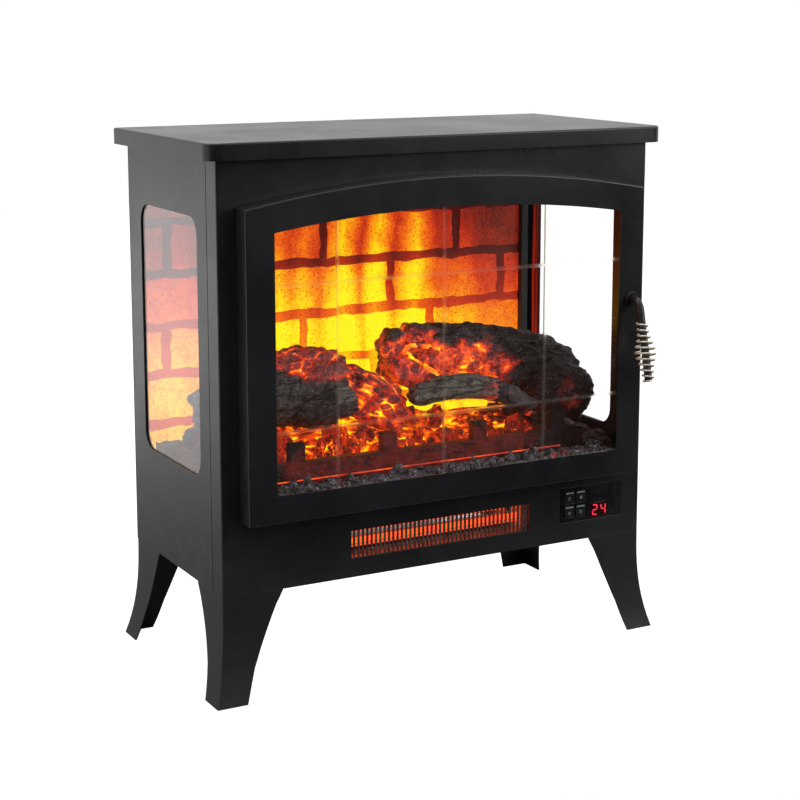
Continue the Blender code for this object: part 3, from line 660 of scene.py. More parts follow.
def coated(name, base, roughness, spread=0.08, metallic=0.0, grain=900.0, grain_depth=0.00003, worn=None,
           wear=0.25, dust=0.04, tone=0.25, tone_scale=7.0, **fixed):
    """A finish whose tone, gloss and grain change a little, worn at its edges and dusty on top."""
    material, tree, shader, place = new_finish(name)
    base = tuple(base)
    light = tuple(min(1.0, c * (1 + tone)) for c in base)
    dark = tuple(c * (1 - tone) for c in base)
    varied = use(tree, "Tone Variation", Vector=place, Scale=tone_scale, Light=light, Dark=dark,
                 Low_Roughness=max(0.02, roughness - spread), High_Roughness=min(1.0, roughness + spread))
    worn = worn or tuple(min(1.0, c * 3 + 0.03) for c in base)
    edges = use(tree, "Worn Edges", Vector=place, Color=varied["Color"], Worn_Color=worn, Amount=wear)
    dusty = use(tree, "Settled Dust", Vector=place, Color=edges["Color"], Amount=dust)
    tree.links.new(dusty["Color"], shader.inputs["Base Color"])
    rough = plus(tree, varied["Roughness"], times(tree, dusty["Mask"], 0.3), clamp=True)
    tree.links.new(rough, shader.inputs["Roughness"])
    grained(tree, shader, place, grain, grain_depth)
    set_shader(shader, Metallic=metallic, **fixed)
    return material


def glass(name, tint, roughness, smear=0.02, clearness=1.0):
    """Glass that lets shadow rays through."""
    material, tree, shader, place = new_finish(name)
    set_shader(shader, Base_Color=tint, Transmission_Weight=clearness, IOR=1.45)
    smears = mapped(tree, noise_of(tree, place, 14.0, 5.0), 0.4, 0.8, roughness, roughness + smear)
    tree.links.new(smears, shader.inputs["Roughness"])
    clear = add(tree, "ShaderNodeBsdfTransparent", {"Color": (*tint, 1.0)})
    fade = add(
        tree, "ShaderNodeMixShader",
        {0: add(tree, "ShaderNodeLightPath").outputs["Is Shadow Ray"], 1: shader.outputs[0], 2: clear.outputs[0]},
    )
    tree.links.new(fade.outputs[0], tree.nodes["Material Output"].inputs["Surface"])
    return material


def levels_along(tree, value, low, high, levels):
    """A value read off a table of levels between two ends."""
    stops = [((at - low) / (high - low), (level, level, level)) for at, level in levels]
    return ramp_of(tree, mapped(tree, value, low, high, kind="LINEAR"), stops)


TONGUES = (
    (-0.283, 0.3), (-0.240, 0.4), (-0.208, 0.2), (-0.165, 0.5), (-0.135, 0.3), (-0.105, 0.6), (-0.086, 0.25),
    (-0.069, 0.55), (-0.045, 0.10), (-0.024, 0.7), (-0.013, 1.0), (-0.002, 0.7), (0.013, 0.10), (0.026, 0.75),
    (0.036, 1.0), (0.046, 0.75), (0.062, 0.08), (0.080, 0.6), (0.093, 0.95), (0.106, 0.5), (0.125, 0.08),
    (0.160, 0.25), (0.190, 0.04), (0.253, 0.0),
)
RISE = (
    (0.33, 0.90), (0.385, 0.83), (0.41, 0.70), (0.455, 0.58), (0.48, 0.46), (0.53, 0.40), (0.595, 0.34), (0.62, 0.10),
)


FLAME_SWAY = 0.030
FLAME_SHARE = 0.46
FLAME_SIDES = ((0.08, 0.22, 0.14), (-0.13, -0.22, 0.21))


def heat_field(tree, place):
    """Flames thrown on the screen: bright low down, with upright tongues that fade towards the top."""
    axes = axes_of(tree, place)
    sway = times(tree, swing(tree, place, 11.0, 3.0), FLAME_SWAY)
    tongues = levels_along(tree, plus(tree, axes["X"], sway), SCREEN[0].x, SCREEN[1].x, TONGUES)
    steady = levels_along(tree, axes["Z"], RISE[0][0], RISE[-1][0], RISE)
    aside = plus(tree, *(mapped(tree, axes["X"], near, far, 0.0, loss) for near, far, loss in FLAME_SIDES))
    fading = times(tree, mapped(tree, axes["Z"], 0.62, 0.47, 0.62, 1.0), FLAME_SHARE)
    licking = times(tree, minus(tree, tongues, 0.25), fading)
    return plus(tree, minus(tree, steady, aside), licking)


def brick_finish(name, cooler, base, strength):
    """Rough brick lit from behind by the flames; cooler is the share of the heat that comes through."""
    material, tree, shader, place = new_finish(name)
    rough = swing(tree, place, 420.0, 5.0, 0.75)
    blotch = swing(tree, place, 42.0, 5.0, 0.65)
    cells = add(tree, "ShaderNodeTexVoronoi", {"Vector": place, "Scale": 230.0}).outputs["Distance"]
    pits = mapped(tree, cells, 0.08, 0.38)
    heat = plus(tree, heat_field(tree, place), times(tree, rough, 0.46))
    heat = plus(tree, heat, times(tree, blotch, 0.30))
    heat = times(tree, heat, plus(tree, times(tree, pits, 0.30), 0.75))
    through = mapped(tree, axes_of(tree, place)["Z"], 0.50, 0.40, cooler, min(1.0, cooler + 0.25))
    burn(tree, shader, times(tree, heat, through, clamp=True))
    varied = use(tree, "Tone Variation", Vector=place, Scale=40.0, Light=base, Dark=tuple(c * 0.4 for c in base),
                 Low_Roughness=0.6, High_Roughness=0.85)
    tree.links.new(varied["Color"], shader.inputs["Base Color"])
    tree.links.new(varied["Roughness"], shader.inputs["Roughness"])
    bumped(tree, shader, plus(tree, rough, blotch), 0.0012)
    set_shader(shader, Emission_Strength=strength)
    return material


def char_finish(name, dark, light, red, vein, heart=None, zone=(0.42, 0.60), grain_axis=(0.32, 1.0, 1.0),
                cells=70.0, specks=0.5, strength=1.3):
    """Charred, cracked matter. Where the fire has reached it glows red, and brighter down in its cracks.

    heart is the middle and half size, in X and Z, of the part that the fire has reached; past it, noise above zone
    decides. grain_axis stretches the fine cracks."""
    material, tree, shader, place = new_finish(name)
    char = add(tree, "ShaderNodeAttribute", attribute_name="char").outputs["Fac"]
    crust = mapped(tree, noise_of(tree, place, 110.0, 6.0, 0.68), 0.30, 0.72)
    base = blended(tree, crust, dark, light)
    fleck = mapped(tree, noise_of(tree, place, 480.0, 2.0, 0.7), 0.58, 0.68)
    base = blended(tree, times(tree, fleck, specks), base, tuple(min(1, c * 3 + 0.03) for c in light))
    uneven = noise_of(tree, place, 24.0, 4.0, 0.6, 0.3)
    if heart:
        axes = axes_of(tree, place)
        offs = [math_node(tree, "DIVIDE", minus(tree, axes[key], mid), half)
                for key, mid, half in zip("XZ", heart[:2], heart[2:])]
        far = math_node(tree, "SQRT", plus(tree, *[times(tree, o, o) for o in offs]))
        near = minus(tree, 1.0, times(tree, far, 0.5))
        uneven = plus(tree, near, times(tree, minus(tree, uneven, 0.5), 0.9))
    reached = mapped(tree, uneven, *zone)
    stretched = add(tree, "ShaderNodeMapping", {"Vector": place, "Scale": grain_axis}).outputs[0]
    wander = add(tree, "ShaderNodeTexNoise", {"Vector": place, "Scale": 60.0, "Detail": 3.0}).outputs["Color"]
    wander = add(tree, "ShaderNodeVectorMath", {0: wander, 3: 0.010}, operation="SCALE").outputs[0]
    bent = add(tree, "ShaderNodeVectorMath", {0: stretched, 1: wander}, operation="ADD").outputs[0]
    fine = add(tree, "ShaderNodeTexVoronoi", {"Vector": bent, "Scale": cells}, feature="DISTANCE_TO_EDGE").outputs[0]
    split = mapped(tree, fine, 0.060, 0.0)
    # The base darkens along the fine cracks: partly the char's own dark, partly painted shade down in the bumped
    # cracks.
    crack_shade = mapped(tree, fine, 0.10, 0.0, 0.0, 0.85)
    base = blended(tree, crack_shade, base, tuple(c * 0.25 for c in dark))
    tree.links.new(base, shader.inputs["Base Color"])
    deep = mapped(tree, char, 0.30, 0.0)
    cracks = math_node(tree, "MAXIMUM", times(tree, split, 0.55), deep)
    flicker = mapped(tree, noise_of(tree, place, 40.0, 4.0, 0.6), 0.44, 0.62, 0.06, 1.0)
    lines = times(tree, times(tree, cracks, flicker), vein)
    skin = times(tree, mapped(tree, noise_of(tree, place, 75.0, 5.0, 0.7), 0.36, 0.60, 0.25, 1.0), red)
    burn(tree, shader, times(tree, plus(tree, lines, skin), reached, clamp=True))
    grain = use(tree, "Fine Grain", Vector=place, Scale=420.0)["Height"]
    height = minus(tree, plus(tree, grain, crust), times(tree, split, 0.9))
    bumped(tree, shader, height, 0.0011)
    set_shader(shader, Roughness=0.62, Emission_Strength=strength)
    return material


def lit_finish(name, base, heat, spread, scale, roughness, strength):
    """Matter that glows evenly with soft blotches, such as a hot tube."""
    material, tree, shader, place = new_finish(name)
    blotch = times(tree, swing(tree, place, scale, 4.0), spread)
    burn(tree, shader, plus(tree, blotch, heat, clamp=True))
    grained(tree, shader, place, 700.0, 0.00003)
    set_shader(shader, Base_Color=base, Roughness=roughness, Emission_Strength=strength)
    return material


def painted_fire_reflection(name, strength):
    """Dark gloss sheet with a painted reflection of the fire: upright red streaks of emission, brighter low down and
    only on its rear part.
    """
    material, tree, shader, place = new_finish(name)
    axes = axes_of(tree, place)
    thin = add(tree, "ShaderNodeMapping", {"Vector": place, "Scale": (1.0, 1.0, 0.02)}).outputs[0]
    streaks = mapped(tree, noise_of(tree, thin, 330.0, 2.0), 0.42, 0.62, 0.08, 0.27)
    fading = mapped(tree, axes["Z"], 0.57, 0.34, 0.85, 1.25)
    fading = times(tree, fading, mapped(tree, axes["Y"], behind(0.200), behind(0.225)))
    burn(tree, shader, times(tree, streaks, fading, clamp=True))
    grained(tree, shader, place, 800.0, 0.00002)
    set_shader(shader, Base_Color=(0.012, 0.009, 0.009), Roughness=0.3, Emission_Strength=strength)
    return material


def digit_finish(name, glow):
    """Lit segments, a little uneven."""
    material, tree, shader, place = new_finish(name)
    uneven = mapped(tree, noise_of(tree, place, 600.0, 2.0), 0.2, 0.8, 0.8, 1.0)
    tree.links.new(blended(tree, uneven, (0.35, 0.0, 0.01), glow), shader.inputs["Emission Color"])
    grained(tree, shader, place, 900.0, 0.00001)
    set_shader(shader, Base_Color=(0.2, 0.0, 0.01), Roughness=0.3, Emission_Strength=1.6)
    return material


def seen_ray(tree, along_y):
    """One for what is seen directly, or through glass behind the stove; nought for what lights the stove."""
    path = add(tree, "ShaderNodeLightPath").outputs
    through = times(tree, path["Is Transmission Ray"], mapped(tree, along_y, 0.0, 0.1))
    return math_node(tree, "MAXIMUM", path["Is Camera Ray"], through)


FLOOR_FADE = (0.45, 2.4)


def floor_finish(name, base, glow):
    """A studio floor that looks white to the camera and reflects little light near the stove."""
    material, tree, shader, place = new_finish(name)
    direct = seen_ray(tree, axes_of(tree, place)["Y"])
    away = add(tree, "ShaderNodeVectorMath", {0: place}, operation="LENGTH").outputs["Value"]
    level = mixed(tree, direct, mapped(tree, away, *FLOOR_FADE, 0.0, glow), glow)
    tree.links.new(level, shader.inputs["Emission Strength"])
    tone = use(tree, "Tone Variation", Vector=place, Scale=2.0, Light=base, Dark=tuple(c * 0.98 for c in base),
               Low_Roughness=0.85, High_Roughness=0.9)
    tree.links.new(tone["Color"], shader.inputs["Base Color"])
    set_shader(shader, Emission_Color=(1.0, 1.0, 1.0), Roughness=0.9)
    return material


def build_finishes():
    cabinet, handle, control, fire = settings().cabinet, settings().handle, settings().controls, settings().fire
    coated("Satin Black", cabinet.coating, cabinet.gloss, 0.05, dust=cabinet.dust, IOR=1.5)
    coated("Inner Black", cabinet.inner_coating, 0.62, 0.1, wear=0.1, dust=0.12)
    coated("Handle Bronze", handle.bronze, 0.34, 0.07, metallic=0.55, wear=0.5, tone_scale=60.0)
    coated("Grip Nickel", handle.nickel, 0.30, 0.07, metallic=0.65, wear=0.0, dust=0.0, tone=0.10, tone_scale=140.0)
    coated("Zinc Steel", (0.56, 0.56, 0.54), 0.36, 0.1, metallic=1.0, wear=0.0, tone=0.18, tone_scale=130.0)
    coated("Motor Steel", (0.38, 0.38, 0.39), 0.40, 0.1, metallic=1.0, wear=0.2, tone_scale=60.0)
    coated("Polished Aluminium", (0.86, 0.86, 0.85), 0.14, 0.05, metallic=1.0, wear=0.0, dust=0.0, tone=0.05)
    coated("Ceramic", (0.80, 0.77, 0.70), 0.60, 0.1, tone=0.08, grain_depth=0.00008, wear=0.0)
    coated("Gloss Fascia", (0.008, 0.008, 0.009), 0.13, 0.05, grain_depth=0.000004, dust=0.02)
    coated("Button Black", (0.010, 0.010, 0.011), 0.30, 0.06, grain_depth=0.00001, wear=0.3)
    coated("Button Mark", control.mark, 0.45, 0.05, tone=0.08, wear=0.0, dust=0.0)
    coated("Display Lens", (0.020, 0.002, 0.003), 0.10, 0.04, grain_depth=0.000003, dust=0.0)
    coated("Board Green", (0.02, 0.14, 0.05), 0.45, 0.1, tone_scale=90.0)
    coated("Board White", (0.78, 0.78, 0.75), 0.42, 0.08, tone=0.06, tone_scale=90.0)
    coated("Wheel Grey", (0.17, 0.17, 0.18), 0.5, 0.08, tone_scale=80.0)
    coated("Gland Rubber", (0.018, 0.018, 0.018), 0.58, 0.08, tone_scale=150.0)
    coated("Catch Brown", (0.09, 0.055, 0.035), 0.55, 0.08, tone_scale=150.0)
    # The grille's warm pale tint is painted light: the quartz tubes' glow falling on its bars.
    coated("Glow Tinted Grille", (0.11, 0.080, 0.072), 0.36, 0.08, metallic=0.5, wear=0.1, dust=0.0, tone_scale=60.0)
    coated("Side Frame", (0.016, 0.015, 0.015), 0.4, 0.08, wear=0.3)
    glass("Clear Glass", (1.0, 1.0, 1.0), 0.0, 0.003)
    glass("Groove Glass", (1.0, 0.93, 0.84), 0.13, 0.05, 0.95)
    brick_finish("Brick Glow", 1.0, (0.10, 0.040, 0.018), fire.screen_glow)
    brick_finish("Mortar Glow", 0.36, (0.060, 0.030, 0.020), fire.screen_glow)
    build_embers(fire)
    lit_finish("Quartz Glow", (0.30, 0.06, 0.03), 0.46, 0.16, 30.0, 0.15, fire.heater_glow)
    lit_finish("Bright Ember", (0.5, 0.2, 0.03), 0.80, 0.45, 90.0, 0.6, fire.bed_glow)
    lit_finish("Hot Vein", (0.5, 0.15, 0.03), 0.63, 1.10, 70.0, 0.6, fire.bed_glow)
    # A painted line of light along the foot of the grate's front.
    lit_finish("Painted Glow Line", (0.30, 0.06, 0.03), 0.36, 0.80, 45.0, 0.6, fire.bed_glow)
    # The right window frame's red streaks are a painted reflection of the fire.
    painted_fire_reflection("Painted Fire Reflection", fire.screen_glow)
    digit_finish("Digit Red", control.digit_glow)
    floor_finish("Pale Floor", settings().stage.floor, settings().stage.floor_glow)


def build_embers(fire):
    """Bark, coal and ash, each with its own share of the fire."""
    dark, light = (0.024, 0.021, 0.021), (0.105, 0.092, 0.088)
    log, bed = fire.log_glow, fire.bed_glow
    char_finish("Charred Bark", dark, tuple(c * 1.4 for c in light), 0.24, 0.50, (-0.110, 0.378, 0.080, 0.026),
                grain_axis=(0.15, 1.0, 1.0), specks=0.7, strength=log)
    char_finish("Granular Bark", dark, light, 0.12, 0.30, zone=(0.56, 0.70), specks=1.0, cells=110.0,
                grain_axis=(0.6, 1.0, 1.0), strength=log)
    char_finish("Split Bark", dark, light, 0.48, 0.44, (0.060, 0.342, 0.085, 0.040), specks=1.0, strength=log)
    char_finish("Broken Head", (0.040, 0.028, 0.033), (0.16, 0.115, 0.12), 0.36, 0.34, (0.020, 0.362, 0.080, 0.036),
                cells=42.0, specks=0.4, strength=log)
    char_finish("Glowing Bark", (0.024, 0.014, 0.014), light, 0.35, 0.66, zone=(0.34, 0.50), cells=62.0, strength=log)
    char_finish("Grey Bark", (0.12, 0.105, 0.088), (0.30, 0.27, 0.225), 0.10, 0.42, (0.110, 0.318, 0.050, 0.020),
                grain_axis=(0.12, 1.0, 1.0), specks=0.3, strength=log)
    char_finish("Ember Bed", (0.030, 0.010, 0.007), (0.09, 0.03, 0.02), 0.41, 0.62, (-0.010, 0.255, 0.190, 0.16),
                grain_axis=(1.0, 0.45, 1.0), cells=75.0, strength=bed)
    char_finish("Coal", (0.016, 0.010, 0.010), (0.07, 0.045, 0.042), 0.24, 0.62, (-0.010, 0.265, 0.185, 0.12),
                grain_axis=(1.0, 0.45, 1.0), cells=85.0, strength=bed)
    char_finish("Ash", (0.034, 0.030, 0.033), (0.26, 0.245, 0.26), 0.26, 0.20, zone=(0.62, 0.72), specks=0.8,
                cells=120.0, strength=log)
    # The grate's red glow is painted light: the embers' light on its front, given as emission.
    char_finish("Iron With Painted Glow", (0.012, 0.007, 0.006), (0.034, 0.018, 0.015), 0.14, 0.0, (-0.010, 0.262, 0.175, 0.030),
                specks=0.2, strength=bed)


# Cabinet pieces


def make_lid():
    s = settings().cabinet
    low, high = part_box("top_cover")
    lid = block("lid", low, high)
    round_edges(lid, lambda m, d: abs(d.z) > 0.9 and m.y < 0, s.lid_corner, 10)
    edit(lid)
    pick("FACE", lambda m, n: n.z < -0.9)
    bpy.ops.mesh.inset(thickness=s.lid_lip)
    extrude(0, 0, high.z - low.z - s.sheet)
    close()
    rim = high.z - 1e-4
    round_edges(lid, lambda m, d: m.z > rim and abs(d.z) < 0.1, s.lid_edge, 4)
    ease(lid, s.edge)
    install(paint(lid, "Satin Black"), "cabinet", "cabinet_black", "top_cover")


MOUTH_HALF, MOUTH_BOTTOM, MOUTH_TOP = 0.256, 0.230, 0.568
GRILLE_RIM = Vector((0.009, 0, 0.006))
WINDOW_LAP = 0.008
PANE_CORNER = 0.012


def make_front():
    s = settings().cabinet
    low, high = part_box("front_panel")
    panel = block("front_sheet", low, high)
    round_edges(panel, lambda m, d: abs(d.z) > 0.9 and m.y < low.y + 1e-4, s.fold, 5)
    inner_low = (low.x + s.sheet, low.y + s.sheet, low.z - 0.01)
    inner_high = (high.x - s.sheet, high.y + 0.01, high.z + 0.01)
    mouth = block("mouth", (-MOUTH_HALF, low.y - 0.01, MOUTH_BOTTOM), (MOUTH_HALF, low.y + 0.01, MOUTH_TOP))
    round_edges(mouth, along("y"), s.mouth_corner, 4)
    grille_low, grille_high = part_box("outlet_grille")
    outlet = block("outlet", grille_low + GRILLE_RIM - Vector((0, 0.01, 0)), grille_high - GRILLE_RIM)
    carve(panel, block("inside", inner_low, inner_high), mouth, outlet, hole_for("control_fascia", 0.0003))
    ease(panel, s.edge)
    install(paint(panel, "Satin Black"), "cabinet", "cabinet_black", "front_panel")


def hole_for(node, gap):
    """A cutter a little larger than a node, and longer in Y."""
    low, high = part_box(node)
    margin = Vector((gap, 0.01, gap))
    return block("hole", low - margin, high + margin)


def cut_window(sheet):
    """Cuts the left window's round-cornered opening."""
    low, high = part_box("side_glass_left")
    reach = Vector((-0.02, WINDOW_LAP, WINDOW_LAP))
    opening = block("opening", low + reach, high - reach)
    round_edges(opening, along("x"), settings().cabinet.window_round, 12)
    carve(sheet, opening)


def make_sides():
    s = settings().cabinet
    low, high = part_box("side_panel_left")
    panel = block("side_sheet_left", low + Vector((0, s.seam, 0)), high)
    cut_window(panel)
    ease(panel, s.edge)
    paint(panel, "Satin Black")
    other = mirror(panel, "side_sheet_right", x=True)
    install(panel, "cabinet", "cabinet_black", "side_panel_left")
    install(other, "cabinet", "cabinet_black", "side_panel_right")
    make_window_frames()


def make_window_frames():
    """Folded frames that clamp the side glass from inside."""
    frame = block("window_frame_left", *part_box("side_glass_frame_left"))
    round_edges(frame, along("x"), PANE_CORNER, 5)
    cut_window(frame)
    ease(frame, 0.0004)
    paint(frame, "Side Frame")
    # The right frame carries a painted reflection of the fire as glowing streaks.
    other = paint(mirror(frame, "window_frame_right", x=True), "Painted Fire Reflection")
    install(frame, "cabinet", "inner_black", "side_glass_frame_left")
    install(other, "cabinet", "inner_black", "side_glass_frame_right")


def make_side_glass():
    for side in ("left", "right"):
        pane = block("window_pane_" + side, *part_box("side_glass_" + side))
        round_edges(pane, along("x"), PANE_CORNER, 4)
        install(paint(pane, "Clear Glass"), "cabinet", "clear_glass", "side_glass_" + side)


SCREW_HEAD = 0.0042
SCREW_EDGE = 0.008


def make_rear_screws():
    """Pan-head screws along the back sheet's edges."""
    low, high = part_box("rear_panel")
    screw = drum("rear_screws", (0, high.y, 0), SCREW_HEAD, 0.0036, "Y", 20)
    round_edges(screw, lambda m, d: m.y > high.y + 0.001, 0.0013, 3)
    middle = Vector((0, high.y + 0.0024, 0))
    for half in (Vector((0.0004, 0.002, 0.0020)), Vector((0.0020, 0.002, 0.0004))):
        carve(screw, block("cross", middle - half, middle + half))
    smooth(screw, 40)
    places = [(x, z) for x in (low.x + SCREW_EDGE, high.x - SCREW_EDGE) for z in (0.15, 0.30, 0.46, 0.60)]
    places += [(x, z) for x in (-0.12, 0.12) for z in (low.z + SCREW_EDGE, high.z - SCREW_EDGE)]
    copies = []
    for x, z in places:
        made = duplicate(screw, "screw")
        made.location = (x, 0, z)
        copies.append(settle(made))
    discard(screw)
    screws = join("rear_screws", copies)
    install(paint(screws, "Zinc Steel"), "cabinet", "zinc_steel")


LEG_PROFILE = ((0.06, 0.072), (0.13, 0.067), (0.24, 0.0610), (0.34, 0.056), (0.43, 0.0518), (0.52, 0.048),
               (0.61, 0.0448), (0.69, 0.042), (0.80, 0.0402), (0.90, 0.0390), (1.0, 0.038))
LEG_TOP_WIDTH = 0.076
LEG_FLARE = 0.015
LEG_FLARE_POWER = 2.6
LEG_SHEET = 0.002
LEG_PLATE = 0.056
BOLT_INSET = 0.030


def make_legs():
    """One leg drawn down ring by ring from an L of sheet, then mirrored to the other corners."""
    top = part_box("leg_front_left")[1].z
    corner = Vector((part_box("front_panel")[0].x, FACE_Y, top))
    leg = block("leg", corner, corner + Vector((LEG_TOP_WIDTH, LEG_TOP_WIDTH, 0.0004)))
    notch = corner + Vector((LEG_SHEET, LEG_SHEET, -0.01))
    carve(leg, block("notch", notch, notch + Vector((0.1, 0.1, 0.1))))
    edit(leg)
    pick("FACE", lambda m, n: n.z < -0.9)
    before, width = 0.0, LEG_TOP_WIDTH
    for t, w in LEG_PROFILE:
        drop = -top * (t - before)
        shift = -LEG_FLARE * (t**LEG_FLARE_POWER - before**LEG_FLARE_POWER)
        extrude(shift, shift, drop)
        level = top * (1 - t) + 1e-5
        flared = LEG_FLARE * t**LEG_FLARE_POWER
        out = Vector((corner.x - flared, corner.y - flared))
        far = width * 0.6
        pick("VERT", lambda m, n: m.z < level and m.x > out.x + far)
        nudge(w - width, 0, 0)
        pick("VERT", lambda m, n: m.z < level and m.y > out.y + far)
        nudge(0, w - width, 0)
        pick("FACE", lambda m, n: n.z < -0.9 and m.z < level)
        before, width = t, w
    close()
    mend(leg)
    round_edges(leg, lambda m, d: abs(d.z) > 0.85 and m.x < corner.x + 0.0005 and m.y < corner.y + 0.0005, 0.0022, 4)
    plate_low = corner + Vector((0.001, 0.001, -0.0027))
    plate = block("plate", plate_low, corner + Vector((LEG_PLATE, LEG_PLATE, 0)))
    edit(plate, "SELECT")
    cut = corner + Vector((LEG_PLATE, 0.001, 0))
    bpy.ops.mesh.bisect(plane_co=cut, plane_no=(1, 1, 0), clear_outer=True, use_fill=True)
    close()
    carve(leg, plate, operation="UNION")
    inset = corner + Vector((BOLT_INSET, BOLT_INSET, 0))
    carve(leg, drum("bolt_hole", inset, 0.0034, 0.02, "Z", 20))
    ease(leg, 0.0005)
    paint(leg, "Satin Black")
    middle = (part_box("leg_front_left")[0].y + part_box("leg_rear_left")[1].y) / 2
    front_right = mirror(leg, "foot_front_right", x=True)
    rear_left = mirror(leg, "foot_rear_left", y_about=middle)
    rear_right = mirror(rear_left, "foot_rear_right", x=True)
    leg.name = "foot_front_left"
    for made in (leg, front_right, rear_left, rear_right):
        install(made, "cabinet", "cabinet_black", made.name.replace("foot", "leg"))


BOLT_HEAD, BOLT_SHANK = 0.0055, 0.0029
BOLT_HEAD_HEIGHT = 0.0040


def make_bolts():
    """A hexagon bolt with a dished head, under each leg's plate."""
    for place in ("front_left", "front_right", "rear_left", "rear_right"):
        low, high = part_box("leg_bolt_" + place)
        x, y, _ = (low + high) / 2
        top = low.z + BOLT_HEAD_HEIGHT
        head = drum("bolt_" + place, (x, y, (low.z + top) / 2), BOLT_HEAD, BOLT_HEAD_HEIGHT, "Z", 6)
        edit(head)
        pick("FACE", lambda m, n: n.z < -0.9)
        bpy.ops.mesh.inset(thickness=0.0012)
        nudge(0, 0, 0.0006)
        close()
        ease(head, 0.0004)
        shank = drum("shank", (x, y, (top + high.z) / 2 - 0.0002), BOLT_SHANK, high.z - top, "Z", 20)
        ease(shank, 0.0004)
        bolt = join("bolt_" + place, [head, shank])
        install(paint(bolt, "Zinc Steel"), "cabinet", "zinc_steel", "leg_bolt_" + place)


# Door pieces


def make_door():
    s, sheet = settings().door, settings().cabinet.sheet
    low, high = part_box("door_frame")
    front, back = low.y, high.y
    pan = arched("door_pan", s.half, s.bottom, s.corner, s.apex, front, back)
    round_edges(pan, lambda m, d: abs(d.y) > 0.9 and abs(m.x) > s.half - 0.001, 0.0016, 3)
    round_edges(pan, lambda m, d: m.y < front + 1e-4, s.pressed, 4)
    hollow = arched(
        "hollow", s.half - sheet, s.bottom + sheet, s.corner - sheet, s.apex - sheet, front + sheet, back + 0.01
    )
    view = arched("view", s.view_half, s.view_bottom, s.view_corner, s.view_apex, front - 0.01, front + 0.01)
    washer_low, washer_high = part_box("handle_washer")
    spindle = (washer_low + washer_high) / 2
    hole = drum("spindle", (spindle.x, front, spindle.z), settings().handle.bar + 0.0006, 0.02, "Y", 32)
    carve(pan, hollow, view, hole)
    ease(pan, 0.00045)
    install(paint(pan, "Satin Black"), "door", "cabinet_black", "door_frame")


def make_door_glass():
    """The pane, with five shallow V grooves cut in its face."""
    s = settings().door
    low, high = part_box("door_glass")
    edge = (high.x - low.x) / 2 - s.view_half
    pane = arched(
        "door_pane", high.x, s.view_bottom - edge, s.view_corner + edge, s.view_apex + edge, low.y, high.y
    )
    half_width, depth = s.groove_width / 2, s.groove_depth
    tall, wide = high.z - low.z + 0.04, high.x - low.x + 0.04
    upright = (s.groove_middle - s.groove_side, s.groove_middle, s.groove_middle + s.groove_side)
    grooves = [((x, low.y, (low.z + high.z) / 2), "Z", tall) for x in upright]
    grooves += [((0, low.y, z), "X", wide) for z in (s.groove_high, s.groove_low)]
    for centre, axis, run in grooves:
        cutter = drum("groove", (0, 0, 0), 1.0, run, axis, 4)
        cutter.scale = (half_width, depth, 1) if axis == "Z" else (1, depth, half_width)
        cutter.location = centre
        carve(pane, settle(cutter))
    paint(pane, "Clear Glass", "Groove Glass")
    paint_faces(pane, 1, lambda m, n: -0.9999 < n.y < -0.5 and m.y < high.y - 0.001)
    install(pane, "door", "clear_glass", "door_glass")


# Handle pieces


def grip_place(t):
    """A point on the grip's axis, from 0 at its top to 1 at its foot."""
    s = settings().handle
    x = (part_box("handle_washer")[0].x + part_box("handle_washer")[1].x) / 2
    reach = s.top_reach + (s.bottom_reach - s.top_reach) * t
    return Vector((x, DOOR_Y - reach, s.top + (s.bottom - s.top) * t))


BEND_STEPS = 20
BEND_REACH = 0.013
BAR_END = 0.965


def make_handle():
    """The bent bar, its bright tip, the washer and the spring grip."""
    s = settings().handle
    low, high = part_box("handle_washer")
    spindle_z = (low.z + high.z) / 2
    run = grip_place(1) - grip_place(0)
    corner = grip_place(0) + run * ((spindle_z - s.top) / run.z)
    into, out_of = corner + Vector((0, BEND_REACH, 0)), corner + run.normalized() * BEND_REACH
    turns = [step / BEND_STEPS for step in range(BEND_STEPS + 1)]
    bend = [into * (1 - t) ** 2 + corner * 2 * t * (1 - t) + out_of * t * t for t in turns]
    start = Vector((corner.x, DOOR_Y + 0.0047, spindle_z))
    bar = wire("handle_bar", [start, *bend, grip_place(0.5), grip_place(BAR_END)], s.bar, 8)
    install(paint(bar, "Handle Bronze"), "handle", "handle_black", "handle_rod")
    tip = wire("handle_tip", [grip_place(BAR_END), grip_place(1.0)], s.bar * 0.92, 8)
    ease(tip, 0.0008)
    install(paint(tip, "Grip Nickel"), "handle", "grip_nickel")
    washer = drum("handle_collar", (low + high) / 2, (high.x - low.x) / 2, high.y - low.y, "Y", 48)
    carve(washer, drum("bore", (low + high) / 2, s.bar + 0.0003, 0.02, "Y", 32))
    ease(washer, 0.0008, 3)
    install(paint(washer, "Handle Bronze"), "handle", "handle_black", "handle_washer")
    make_grip()


WIRE_STEPS = 40


def make_grip():
    """A wire wound round the bar, with a belly in its middle."""
    s = settings().handle
    run = (grip_place(1) - grip_place(0)).normalized()
    across = Vector((1, 0, 0))
    outward = across.cross(run)
    count = int(s.turns * WIRE_STEPS)
    points = []
    for k in range(count + 1):
        t = k / count
        angle = 2 * math.pi * s.turns * t
        radius = s.bar + s.wire + 0.0003 + s.belly * math.exp(-(((t - 0.52) / 0.21) ** 2))
        points.append(grip_place(t * 0.985) + (across * math.cos(angle) + outward * math.sin(angle)) * radius)
    grip = wire("spring_grip", points, s.wire, 3)
    install(paint(grip, "Grip Nickel"), "handle", "grip_nickel", "handle_grip")


# Heater and control pieces


def make_grille_wires():
    """Guard wires across the outlet, just behind its bars."""
    low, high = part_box("outlet_grille")
    y = high.y + 0.0010
    heights = [low.z + (high.z - low.z) * part for part in (0.30, 0.48, 0.72)]
    parts = [wire("guard", [(low.x + 0.004, y, z), (high.x - 0.004, y, z)], 0.0006, 2) for z in heights]
    wires = join("guard_wires", parts)
    install(paint(wires, "Zinc Steel"), "cabinet", "zinc_steel")


KEYS = ("power", "flame", "heat", "timer")
PRINT = 0.00008


